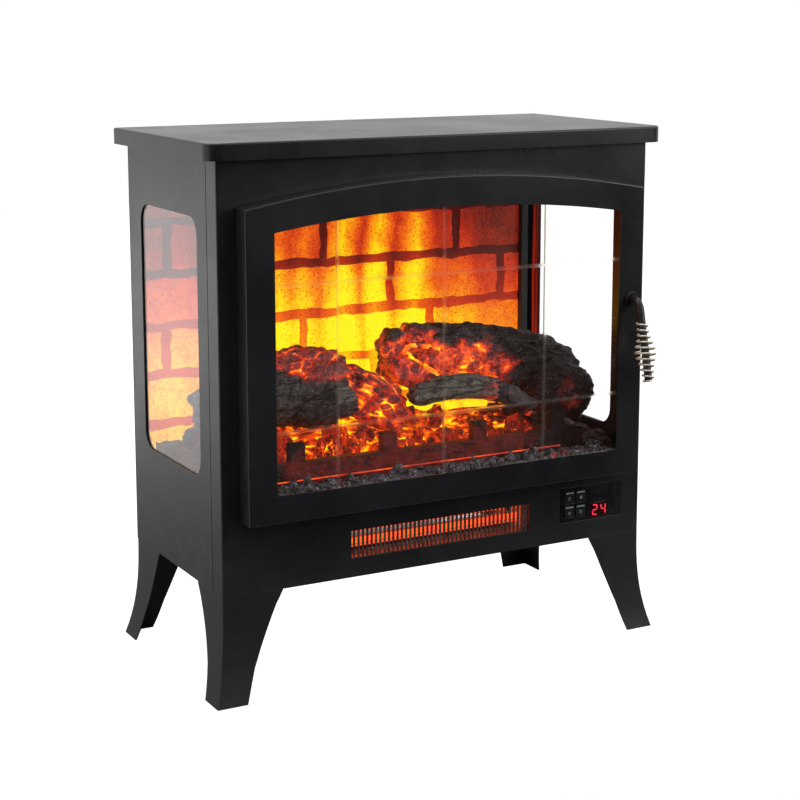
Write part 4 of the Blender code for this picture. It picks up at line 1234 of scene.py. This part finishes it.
def make_buttons():
    """Four key caps, each with a printed bar and a small sign."""
    for name in KEYS:
        low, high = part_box("button_" + name)
        cap = block("key_" + name, low, high)
        round_edges(cap, along("y"), 0.0012, 4)
        edit(cap)
        pick("FACE", lambda m, n: n.y < -0.9)
        bpy.ops.mesh.inset(thickness=0.0009)
        nudge(0, 0.00025, 0)
        close()
        ease(cap, 0.0002)
        paint(cap, "Button Black")
        middle = (low + high) / 2
        face = low.y + 0.00022
        bar_low = (low.x + 0.0012, face - PRINT, high.z - 0.0030)
        bar = block("bar", bar_low, (high.x - 0.0016, face + 0.0001, high.z - 0.0012))
        ease(bar, 0.00005)
        sign = make_sign(name, Vector((middle.x, face, middle.z - 0.0018)))
        for print_on in (bar, *sign):
            paint(print_on, "Button Mark")
        made = join("key_" + name, [cap, bar, *sign])
        install(made, name + "_button", "button_black", "button_" + name)


def make_sign(name, centre):
    """Plain signs: a ring, a drop, a row of bars and a clock face."""
    if name == "heat":
        half = Vector((0.0003, PRINT, 0.0019))
        middles = [centre + Vector((0.0016 * k, 0, 0)) for k in (-1, 0, 1)]
        return [block("stroke", middle - half, middle + half) for middle in middles]
    if name == "flame":
        drop = drum("drop", centre, 0.0018, 2 * PRINT, "Y", 24)
        edit(drop)
        pick("VERT", lambda m, n: m.z > centre.z + 0.0016)
        nudge(0, 0, 0.0012)
        close()
        return [drop]
    ring = drum("ring", centre, 0.0022, 2 * PRINT, "Y", 32)
    carve(ring, drum("bore", centre, 0.0017, 0.01, "Y", 32))
    half = Vector((0.00028, PRINT, 0.0011))
    stroke_at = centre + Vector((0, 0, 0.0018 if name == "power" else 0.0006))
    return [ring, block("stroke", stroke_at - half, stroke_at + half)]


SEGMENTS = {0: "abcdef", 1: "bc", 2: "abged", 3: "abgcd", 4: "fgbc", 5: "afgcd", 6: "afgedc", 7: "abc",
            8: "abcdefg", 9: "abcdfg"}


def make_display():
    """A smoked lens with two seven-segment digits behind its face."""
    low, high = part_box("digit_display")
    lens = block("display_lens", low, high)
    ease(lens, 0.0003, 3)
    install(paint(lens, "Display Lens"), "cabinet", "display_red", "digit_display")
    tall, wide, bar = 0.0140, 0.0078, 0.0014
    middle = (low + high) / 2
    lying = block("lying", (-wide / 2 + bar * 0.7, -0.0001, -bar / 2), (wide / 2 - bar * 0.7, 0.0001, bar / 2))
    round_edges(lying, along("y"), bar * 0.45, 1)
    standing = block("standing", (-bar / 2, -0.0001, bar * 0.65), (bar / 2, 0.0001, tall / 2 - bar * 0.65))
    round_edges(standing, along("y"), bar * 0.45, 1)
    side = (wide - bar) / 2
    place = {
        "a": (lying, 0, tall / 2 - bar / 2), "g": (lying, 0, 0), "d": (lying, 0, -tall / 2 + bar / 2),
        "f": (standing, -side, 0), "b": (standing, side, 0),
        "e": (standing, -side, -tall / 2), "c": (standing, side, -tall / 2),
    }
    parts = []
    for offset, digit in ((-0.0064, settings().controls.digits // 10), (0.0064, settings().controls.digits % 10)):
        for letter in SEGMENTS[digit]:
            source, x, z = place[letter]
            made = duplicate(source, "segment")
            made.location = (middle.x + offset + x, low.y - 0.00005, middle.z + z)
            parts.append(settle(made))
    discard(lying, standing)
    digits = join("display_digits", parts)
    install(paint(digits, "Digit Red"), "cabinet", "display_red")


def make_fascia():
    """The gloss plate, a finer version of its part with eased edges."""
    plate = block("gloss_plate", *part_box("control_fascia"))
    round_edges(plate, along("y"), 0.0010, 3)
    cutters = [hole_for("button_" + name, 0.0005) for name in KEYS]
    cutters.append(hole_for("digit_display", 0.0003))
    carve(plate, *cutters)
    ease(plate, 0.0002)
    install(paint(plate, "Gloss Fascia"), "cabinet", "fascia_gloss", "control_fascia")


# Fire pieces

COURSES = (0.2300, 0.2817, 0.3428, 0.4045, 0.4695, 0.5340, 0.5985, 0.6145)
JOINTS = (
    (-0.205, -0.020, 0.160), (-0.110, 0.030, 0.215), (-0.258, -0.073, 0.115), (-0.150, 0.054, 0.224),
    (-0.255, -0.042, 0.1545), (-0.160, 0.058, 0.235), (-0.060, 0.130),
)


def cloud(name, size, kind="CLOUDS"):
    """A texture for the Displace modifier."""
    texture = bpy.data.textures.new(name, kind)
    texture.noise_scale = size
    return texture


def crackle(name, size, plateau=3.0):
    """Cells with dark gaps between them."""
    texture = cloud(name, size, "VORONOI")
    texture.weight_1, texture.weight_2 = -1.0, 1.0
    texture.noise_intensity = plateau
    return texture


def displace(obj, texture, strength, middle=0.5, direction="NORMAL"):
    return apply(obj, "DISPLACE", texture=texture, strength=strength, mid_level=middle, direction=direction)


def crack(obj, texture, strength):
    """Sinks the gaps of a texture into the mesh, and keeps how deep each point lies as an attribute."""
    before = [v.co.copy() for v in obj.data.vertices]
    displace(obj, texture, strength, 0.0)
    layer = obj.data.attributes.new("char", "FLOAT", "POINT")
    depth = [min(1.0, (v.co - old).length / abs(strength)) for v, old in zip(obj.data.vertices, before)]
    layer.data.foreach_set("value", depth)
    return obj


def make_screen():
    """Bricks in relief on a thin sheet, with uneven edges."""
    s = settings().fire
    low, high = SCREEN
    face = low.y + s.relief
    sheet = block("mortar_sheet", (low.x, face, low.z), high)
    bricks = []
    for row, joints in enumerate(JOINTS):
        bottom, top = COURSES[row] + s.joint / 2, COURSES[row + 1] - s.joint / 2
        ends = (low.x - s.joint / 2, *joints, high.x + s.joint / 2)
        for left, right in zip(ends, ends[1:]):
            start = Vector((left + s.joint / 2, low.y + 0.0002, max(bottom, low.z)))
            bricks.append(block("brick", start, (right - s.joint / 2, face + 0.0006, min(top, high.z))))
    wall = join("brick_screen", bricks)
    edit(wall, "SELECT")
    bpy.ops.mesh.subdivide(number_cuts=15)
    close()
    inside = lambda v: low.x + 0.004 < v.co.x < high.x - 0.004
    group = wall.vertex_groups.new(name="inside")
    group.add([v.index for v in wall.data.vertices if inside(v)], 1.0, "REPLACE")
    edge_noise, bumps = cloud("brick_edges", 0.022), cloud("brick_bumps", 0.012)
    for axis, strength in (("Z", 0.010), ("X", 0.009)):
        apply(wall, "DISPLACE", texture=edge_noise, strength=strength, direction=axis, vertex_group="inside")
    displace(wall, bumps, 0.0006, 0.2, "Y")
    smooth(wall, 50)
    install(paint(wall, "Brick Glow"), "cabinet", "screen_brick", "flame_screen")
    ease(sheet, 0.0003)
    install(paint(sheet, "Mortar Glow"), "cabinet", "screen_brick")


def shaped_log(name, start, end, radii, bow, seed, cell=0.020, depth=0.006, rough=0.012, hollow=0.0, squeeze=0.5,
               levels=3):
    """A log drawn from a cylinder: rings set to their radii, then swollen, roughened and cracked."""
    start, end = Vector(start), Vector(end)
    run = end - start
    span = run.length * squeeze
    count = len(radii)
    log = drum(name, (seed + span / 2, 0, 0), 1.0, span, "X", 20)
    edit(log)
    pick("EDGE", along("x"))
    bpy.ops.mesh.subdivide(number_cuts=count - 2)
    for i, radius in enumerate(radii):
        t = i / (count - 1)
        x = seed + span * t
        pick("VERT", lambda m, n: abs(m.x - x) < span / count / 3)
        bpy.ops.transform.resize(value=(1, radius, radius), center_override=(x, 0, 0))
        nudge(0, 0, bow * 4 * t * (1 - t))
    for side in (-1, 1):
        pick("FACE", lambda m, n: n.x * side > 0.9)
        bpy.ops.mesh.inset(thickness=min(radii[0], radii[-1]) * 0.30)
        if hollow and side > 0:
            extrude(-hollow * squeeze, 0, 0)
        else:
            nudge(side * 0.002, 0, 0)
        bpy.ops.mesh.inset(thickness=min(radii[0], radii[-1]) * 0.25)
    close()
    apply(log, "SUBSURF", levels=levels, render_levels=levels)
    displace(log, cloud(name + "_swell", 0.035), rough)
    displace(log, cloud(name + "_rough", 0.008), rough * 0.28)
    crack(log, crackle(name + "_cracks", cell), depth)
    only(log)
    log.location = (-seed, 0, 0)
    settle(log)
    log.scale = (1 / squeeze, 1, 1)
    settle(log)
    axis = run.normalized()
    side_way = axis.cross(Vector((0, 0, 1))).normalized()
    turn = Matrix((axis, -side_way, axis.cross(-side_way))).transposed()
    log.matrix_world = Matrix.Translation(start) @ turn.to_4x4()
    settle(log)
    return smooth(log, 60)


def behind(distance):
    return FACE_Y + distance


def make_logs():
    """Left log with its broken stub, the split log with its head and lobe, the grey branch and the glowing heap."""
    left = shaped_log("charred_log", (-0.262, behind(0.116), 0.316), (-0.088, behind(0.106), 0.354),
                      (0.026, 0.037, 0.043, 0.045, 0.044, 0.042, 0.038, 0.030), 0.003, 3.0, cell=0.014, depth=0.0045,
                      rough=0.008, squeeze=0.50)
    install(paint(left, "Charred Bark"), "cabinet", "bark_black", "log_left")
    stub = shaped_log("broken_stub", (-0.160, behind(0.096), 0.316), (-0.080, behind(0.078), 0.326),
                      (0.020, 0.026, 0.026, 0.024, 0.021, 0.018), 0.0, 6.0, cell=0.009, depth=0.003, rough=0.005,
                      hollow=0.012, squeeze=0.40)
    paint(stub, "Granular Bark", "Grey Bark")
    paint_faces(stub, 1, lambda m, n: m.x > -0.112 and n.z > 0.25)
    install(stub, "cabinet", "bark_grey")
    split = shaped_log("split_log", (-0.004, behind(0.142), 0.360), (0.246, behind(0.110), 0.322),
                       (0.030, 0.038, 0.042, 0.044, 0.043, 0.042, 0.040, 0.030), 0.007, 8.0, cell=0.013,
                       depth=0.0045, rough=0.009, squeeze=0.62)
    install(paint(split, "Split Bark"), "cabinet", "bark_glowing", "log_split")
    make_broken_head()
    branch = shaped_log("grey_branch", (-0.006, behind(0.052), 0.327), (0.150, behind(0.050), 0.300),
                        (0.0145, 0.0155, 0.0158, 0.0158, 0.0142, 0.0120, 0.009), 0.016, 5.0, cell=0.008,
                        depth=0.0014, rough=0.003, squeeze=0.26)
    paint(branch, "Grey Bark", "Broken Head")
    paint_faces(branch, 1, lambda m, n: m.x > 0.098 or n.x < -0.75)
    install(branch, "cabinet", "bark_grey", "log_branch")
    heap = shaped_log("glowing_stub", (-0.100, behind(0.098), 0.352), (-0.028, behind(0.070), 0.300),
                      (0.014, 0.022, 0.028, 0.030, 0.028, 0.018), 0.0, 2.0, cell=0.012, depth=0.005, rough=0.008,
                      squeeze=0.4)
    install(paint(heap, "Glowing Bark"), "cabinet", "bark_glowing", "ember_lump")


def wedge(name, corners, front, thickness, seed):
    """An angular chip of charred wood: a prism whose edges are moved to an outline, then chamfered and cracked."""
    count = len(corners)
    x, z = sum(c[0] for c in corners) / count, sum(c[1] for c in corners) / count
    chip = drum(name, (x, front + thickness / 2, z), 0.5, thickness, "Y", count)
    turn = lambda co: math.atan2(co.z - z, co.x - x)
    starts = sorted((v.co.copy() for v in chip.data.vertices if v.co.y < front + thickness / 2), key=turn)
    turning = sum(a[0] * b[1] - b[0] * a[1] for a, b in zip(corners, corners[1:] + corners[:1]))
    ordered = corners if turning > 0 else corners[::-1]
    edit(chip)
    for start, corner in zip(starts, ordered):
        pick("VERT", lambda m, n: math.hypot(m.x - start.x, m.z - start.z) < 0.01)
        nudge(corner[0] - start.x, 0, corner[1] - start.z)
    pick("FACE", lambda m, n: m.y > front + thickness * 0.9)
    bpy.ops.transform.resize(value=(0.8, 1, 0.8), center_override=(x, front + thickness, z))
    close()
    mend(chip)
    apply(chip, "BEVEL", width=0.0025, segments=2, limit_method="ANGLE")
    apply(chip, "REMESH", mode="VOXEL", voxel_size=0.0016)
    displace(chip, cloud(name + "_swell", 0.018 + 0.001 * seed), 0.003)
    displace(chip, cloud(name + "_rough", 0.004), 0.0014)
    crack(chip, crackle(name + "_cracks", 0.012), 0.0020)
    return smooth(chip, 60)


def make_broken_head():
    """Angular charred chips at the split log's left end, and a short lobe at its right end."""
    chips = (
        (((-0.028, 0.366), (-0.030, 0.378), (-0.010, 0.402), (0.003, 0.394), (-0.002, 0.376),
          (-0.010, 0.366)), 0.098),
        (((0.004, 0.382), (0.012, 0.403), (0.030, 0.401), (0.060, 0.394), (0.080, 0.386), (0.050, 0.378)), 0.106),
        (((-0.032, 0.366), (-0.012, 0.370), (0.012, 0.357), (0.040, 0.336), (0.046, 0.325), (0.030, 0.317),
          (-0.006, 0.330), (-0.024, 0.345)), 0.080),
        (((0.016, 0.362), (0.040, 0.372), (0.080, 0.366), (0.090, 0.352), (0.062, 0.340), (0.046, 0.342)), 0.094),
    )
    parts = [wedge("chip", outline, behind(front), 0.034, k) for k, (outline, front) in enumerate(chips)]
    install(paint(join("broken_head", parts), "Broken Head"), "cabinet", "bark_glowing")
    lines = (
        (((-0.004, 0.372), (0.005, 0.3785), (0.014, 0.3785)), 0.0024),
        (((0.023, 0.3770), (0.036, 0.376), (0.048, 0.3725)), 0.0015),
        (((0.060, 0.3715), (0.074, 0.369), (0.088, 0.364)), 0.0013),
        (((0.000, 0.371), (0.010, 0.364), (0.019, 0.357)), 0.0018),
        (((0.027, 0.3515), (0.038, 0.344), (0.052, 0.332)), 0.0023),
    )
    veins = [wire("vein", [(x, behind(0.0952), z) for x, z in line], radius, 4) for line, radius in lines]
    veins = join("bright_veins", veins)
    edit(veins, "SELECT")
    bpy.ops.mesh.subdivide(number_cuts=5)
    close()
    for axis, size in (("Z", 0.012), ("Z", 0.005), ("X", 0.008)):
        displace(veins, cloud("vein_path_%s_%d" % (axis, round(size * 1000)), size), 0.75 * size, direction=axis)
    displace(veins, cloud("vein_swell", 0.009), 0.0060)
    install(paint(veins, "Hot Vein"), "cabinet", "ember")
    lobe = shaped_log("right_lobe", (0.176, behind(0.082), 0.314), (0.252, behind(0.076), 0.300),
                      (0.024, 0.033, 0.037, 0.037, 0.034, 0.026), 0.0, 14.0, cell=0.007, depth=0.0022,
                      rough=0.006, squeeze=1.0)
    install(paint(lobe, "Granular Bark"), "cabinet", "bark_black")


def make_bed(name, node, finish, slot, cell, strength, swell, slope=0.0):
    """A heaped bed: a fine grid, tilted, cracked into lumps and closed down to its base."""
    low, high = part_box(node)
    step = settings().fire.grid
    size = high - low
    deselect()
    bpy.ops.mesh.primitive_grid_add(
        x_subdivisions=int(size.x / step), y_subdivisions=int(size.y / step), size=1,
        location=((low.x + high.x) / 2, (low.y + high.y) / 2, 0),
    )
    bed = bpy.context.object
    bed.name = name
    bed.scale = (size.x, size.y, 1)
    settle(bed)
    displace(bed, cloud(name + "_swell", 0.05), swell)
    crack(bed, crackle(name + "_cells", cell, 1.8), strength)
    displace(bed, cloud(name + "_rough", 0.006), swell * 0.25)
    only(bed)
    middle = Vector((0, (low.y + high.y) / 2, 0))
    bed.rotation_euler.x = math.atan(slope)
    bed.location = middle - Matrix.Rotation(math.atan(slope), 3, "X") @ middle
    settle(bed)
    top = (low.z + high.z) / 2 + 0.006
    bed.location.z = top - strength * 0.6
    settle(bed)
    edit(bed)
    bpy.ops.mesh.select_mode(type="EDGE")
    bpy.ops.mesh.select_non_manifold()
    bpy.ops.mesh.extrude_edges_move(TRANSFORM_OT_translate={"value": (0, 0, low.z - top)})
    bpy.ops.transform.resize(value=(1, 1, 0), center_override=(0, 0, low.z))
    bpy.ops.mesh.edge_face_add()
    close()
    mend(bed)
    smooth(bed, 60)
    install(paint(bed, finish), "cabinet", slot, node)
    return bed


def make_lumps(name, finish, slot, count, place, size, seed):
    """Loose lumps: a few are modelled and copied, each turned and sized its own way."""
    chance = random.Random(seed)
    models = []
    for k in range(4):
        deselect()
        bpy.ops.mesh.primitive_ico_sphere_add(subdivisions=3, radius=0.5)
        model = bpy.context.object
        model.name = "lump"
        displace(model, cloud("lump_shape", 0.35 + 0.05 * k), 0.55)
        crack(model, crackle("lump_cracks", 0.32 + 0.05 * k), 0.16)
        models.append(model)
    parts = []
    for k in range(count):
        made = duplicate(models[k % len(models)], "lump")
        scale = chance.uniform(*size)
        made.scale = (scale * chance.uniform(1.0, 1.7), scale, scale * chance.uniform(0.6, 0.9))
        made.rotation_euler = [chance.uniform(0, 2 * math.pi) for _ in range(3)]
        made.location = place(chance)
        parts.append(settle(made))
    discard(*models)
    lumps = join(name, parts)
    smooth(lumps, 60)
    install(paint(lumps, finish), "cabinet", slot)


def make_embers():
    s = settings().fire
    low, high = BED
    make_bed("glowing_bed", "ember_bed", "Ember Bed", "ember", 0.020, 0.012, 0.010, slope=0.09)

    def in_bed(chance):
        depth = chance.uniform(0.0, 1.0) ** 1.3
        y = low.y + 0.012 + (high.y - low.y - 0.05) * depth
        return (chance.uniform(low.x + 0.015, high.x - 0.015), y, 0.2520 + 0.018 * depth + chance.uniform(0, 0.005))

    make_lumps("bed_coals", "Coal", "ember", s.coals, in_bed, (0.010, 0.020), 5)
    path = [(0.036, behind(0.066), 0.305), (0.062, behind(0.062), 0.307), (0.096, behind(0.062), 0.304)]
    bar = wire("glow_bar", path, 0.0045, 4)
    displace(bar, cloud("glow_bar_swell", 0.01), 0.003)
    install(paint(bar, "Bright Ember"), "cabinet", "ember")
    ash_low, ash_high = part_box("ash_strip")
    make_bed("ash_bed", "ash_strip", "Ash", "ash_grey", 0.010, 0.005, 0.004)

    def in_ash(chance):
        x = chance.uniform(ash_low.x + 0.008, ash_high.x - 0.008)
        y = chance.uniform(ash_low.y + 0.008, ash_high.y - 0.007)
        return (x, y, ash_high.z - chance.uniform(0.002, 0.005))

    make_lumps("cinders", "Ash", "ash_grey", s.cinders, in_ash, (0.006, 0.014), 9)


GRATE_BAR_TOP = 0.267
GRATE_POSTS = (-0.180, -0.0575, 0.069, 0.183)
GRATE_POST_HALF = 0.010


def make_grate():
    """A cast bar with four posts drawn up from it."""
    low, high = GRATE
    bar = block("cast_grate", low, (high.x, high.y, GRATE_BAR_TOP))
    edit(bar)
    for x in GRATE_POSTS:
        for side in (-GRATE_POST_HALF, GRATE_POST_HALF):
            bpy.ops.mesh.select_all(action="SELECT")
            bpy.ops.mesh.bisect(plane_co=(x + side, 0, 0), plane_no=(1, 0, 0))
    pick("FACE", lambda m, n: n.z > 0.9 and any(abs(m.x - x) < GRATE_POST_HALF * 0.5 for x in GRATE_POSTS))
    extrude(0, 0, high.z - GRATE_BAR_TOP)
    close()
    mend(bar)
    ease(bar, 0.0013, 3)
    # The bar's red glow is painted light from the embers behind it.
    install(paint(bar, "Iron With Painted Glow"), "cabinet", "grate_iron", "fire_grate")
    # A glowing rod at the foot of the bar's front: painted light for the bright line seen under the grate.
    line_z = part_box("ash_strip")[1].z + 0.0006
    line_y = low.y - 0.0004
    line = wire("painted_glow_line", [(low.x + 0.01, line_y, line_z), (high.x - 0.035, line_y, line_z)], 0.0009, 2)
    install(paint(line, "Painted Glow Line"), "cabinet", "ember")


# Nodes that stay as they are

KEPT = {
    "rear_panel": "Satin Black", "base_plate": "Satin Black", "chamber_floor": "Inner Black",
    # The outlet grille's warm tint is painted glow from the quartz tubes.
    "glass_retainer": "Inner Black", "wire_channel": "Inner Black", "outlet_grille": "Glow Tinted Grille",
    "hinge_bracket_upper": "Zinc Steel", "hinge_bracket_lower": "Zinc Steel", "hinge_pin_upper": "Zinc Steel",
    "hinge_pin_lower": "Zinc Steel", "magnet_catch": "Catch Brown", "heater_duct": "Zinc Steel",
    "heater_reflector": "Polished Aluminium", "quartz_tube_lower": "Quartz Glow", "quartz_tube_upper": "Quartz Glow",
    "tube_holder_left": "Ceramic", "tube_holder_right": "Ceramic", "blower_housing": "Zinc Steel",
    "blower_wheel": "Wheel Grey", "blower_motor": "Motor Steel", "control_board": "Board Green",
    "flame_led_board": "Board White", "flicker_rod": "Polished Aluminium", "flicker_motor": "Motor Steel",
    "cord_gland": "Gland Rubber",
}


def dress_nodes():
    for node, name in KEPT.items():
        paint(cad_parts[node], name)


# Stage


def make_world():
    """Bright behind and beside the stove, dimmer in the room in front of it; seen directly it is plain white."""
    s = settings().stage
    world = bpy.data.worlds.new("Studio")
    bpy.context.scene.world = world
    world.use_nodes = True
    tree = world.node_tree
    shader = tree.nodes["Background"]
    direction = axes_of(tree, add(tree, "ShaderNodeTexCoord").outputs["Generated"])
    across = times(tree, direction["X"], -0.10)
    facing = mapped(tree, plus(tree, direction["Y"], across), -0.45, 0.30)
    up = mapped(tree, direction["Z"], -0.13, 0.50, 0.02, 1.0)
    room = times(tree, up, mapped(tree, direction["X"], 0.25, 0.70, s.room, s.room * 2.2))
    seen = mixed(tree, seen_ray(tree, direction["Y"]), mixed(tree, facing, room, s.sky), 1.0)
    tree.links.new(seen, shader.inputs["Strength"])
    set_shader(shader, Color=(1.0, 1.0, 1.0))


def make_floor():
    deselect()
    bpy.ops.mesh.primitive_plane_add(size=1, location=(0, 2.2, 0))
    floor = bpy.context.object
    floor.name = "floor"
    floor.scale = (8.0, 5.4, 1)
    settle(floor)
    paint(floor, "Pale Floor")


def make_lights():
    s = settings().stage
    deselect()
    bpy.ops.object.light_add(type="SUN", location=(0, 0, 3), rotation=(math.radians(-18), math.radians(-14), 0))
    sun = bpy.context.object
    sun.name = "soft_top_light"
    sun.data.energy = s.sun
    sun.data.angle = math.radians(70)
    deselect()
    bpy.ops.object.light_add(type="AREA", location=(1.7, -2.0, 1.2), rotation=(math.radians(68), 0, math.radians(40)))
    fill = bpy.context.object
    fill.name = "soft_right_light"
    fill.data.energy = s.fill
    fill.data.size = 0.9


def make_camera():
    s = settings().stage
    deselect()
    bpy.ops.object.camera_add(location=s.camera, rotation=(math.pi / 2 - s.tilt, 0, -s.turn))
    camera = bpy.context.object
    camera.name = "camera"
    camera.data.lens = s.lens
    camera.data.sensor_width = 36.0
    camera.data.shift_y = s.shift
    bpy.context.scene.camera = camera
    bpy.context.scene.view_settings.view_transform = "Standard"


# Operators


class StoveOperator:
    """Runs the class's steps in order."""

    bl_options = {"REGISTER", "UNDO"}
    steps = ()

    def execute(self, context):
        for step in self.steps:
            step()
        return {"FINISHED"}


class STOVE_OT_finishes(StoveOperator, bpy.types.Operator):
    """Builds the shared node groups and every finish"""

    bl_idname = "stove.finishes"
    bl_label = "Finishes"
    steps = (build_groups, build_finishes)


class STOVE_OT_lid(StoveOperator, bpy.types.Operator):
    """Models the folded lid"""

    bl_idname = "stove.lid"
    bl_label = "Lid"
    steps = (make_lid,)


class STOVE_OT_front(StoveOperator, bpy.types.Operator):
    """Models the folded front sheet"""

    bl_idname = "stove.front"
    bl_label = "Front"
    steps = (make_front,)


class STOVE_OT_sides(StoveOperator, bpy.types.Operator):
    """Models the side sheets and their windows"""

    bl_idname = "stove.sides"
    bl_label = "Sides"
    steps = (make_sides, make_side_glass)


class STOVE_OT_rear(StoveOperator, bpy.types.Operator):
    """Adds the screws of the back sheet"""

    bl_idname = "stove.rear"
    bl_label = "Rear"
    steps = (make_rear_screws,)


class STOVE_OT_legs(StoveOperator, bpy.types.Operator):
    """Models the four legs and their bolts"""

    bl_idname = "stove.legs"
    bl_label = "Legs"
    steps = (make_legs, make_bolts)


class STOVE_OT_door(StoveOperator, bpy.types.Operator):
    """Models the arched door and its grooved glass"""

    bl_idname = "stove.door"
    bl_label = "Door"
    steps = (make_door, make_door_glass)


class STOVE_OT_handle(StoveOperator, bpy.types.Operator):
    """Models the handle with its spring grip"""

    bl_idname = "stove.handle"
    bl_label = "Handle"
    steps = (make_handle,)


class STOVE_OT_controls(StoveOperator, bpy.types.Operator):
    """Models the fascia, its keys and the display"""

    bl_idname = "stove.controls"
    bl_label = "Controls"
    steps = (make_fascia, make_buttons, make_display, make_grille_wires)


class STOVE_OT_screen(StoveOperator, bpy.types.Operator):
    """Models the brick screen"""

    bl_idname = "stove.screen"
    bl_label = "Brick screen"
    steps = (make_screen,)


class STOVE_OT_logs(StoveOperator, bpy.types.Operator):
    """Models the log set"""

    bl_idname = "stove.logs"
    bl_label = "Logs"
    steps = (make_logs,)


class STOVE_OT_embers(StoveOperator, bpy.types.Operator):
    """Models the ember bed, the ash and the grate"""

    bl_idname = "stove.embers"
    bl_label = "Embers"
    steps = (make_embers, make_grate)


class STOVE_OT_nodes(StoveOperator, bpy.types.Operator):
    """Gives the parts that stay their finishes"""

    bl_idname = "stove.nodes"
    bl_label = "Kept parts"
    steps = (dress_nodes,)


class STOVE_OT_stage(StoveOperator, bpy.types.Operator):
    """Sets up the floor, light and camera"""

    bl_idname = "stove.stage"
    bl_label = "Stage"
    steps = (make_world, make_floor, make_lights, make_camera)


OPERATORS = (
    STOVE_OT_finishes, STOVE_OT_stage, STOVE_OT_lid, STOVE_OT_front, STOVE_OT_sides, STOVE_OT_rear, STOVE_OT_legs,
    STOVE_OT_door, STOVE_OT_handle, STOVE_OT_controls, STOVE_OT_screen, STOVE_OT_logs, STOVE_OT_embers,
    STOVE_OT_nodes,
)


class STOVE_PT_panel(bpy.types.Panel):
    """Lists the stove's pieces and settings"""

    bl_idname = "STOVE_PT_panel"
    bl_label = "Electric Stove"
    bl_space_type = "VIEW_3D"
    bl_region_type = "UI"
    bl_category = "Stove"

    def draw(self, context):
        stove = context.scene.stove
        for title in ("cabinet", "door", "handle", "controls", "fire", "stage"):
            box = self.layout.box()
            box.label(text=title.title())
            group = getattr(stove, title)
            for key in group.bl_rna.properties.keys():
                if key not in ("rna_type", "name"):
                    box.prop(group, key)
        for operator in OPERATORS:
            self.layout.operator(operator.bl_idname)


CLASSES = (
    CabinetSettings, DoorSettings, HandleSettings, ControlSettings, FireSettings, StageSettings, StoveSettings,
    *OPERATORS, STOVE_PT_panel,
)


def register():
    for item in CLASSES:
        bpy.utils.register_class(item)
    bpy.types.Scene.stove = PointerProperty(type=StoveSettings)


def unregister():
    del bpy.types.Scene.stove
    for item in reversed(CLASSES):
        bpy.utils.unregister_class(item)


def main():
    register()
    for operator in OPERATORS:
        space, name = operator.bl_idname.split(".")
        getattr(getattr(bpy.ops, space), name)()


if __name__ == "__main__":
    main()
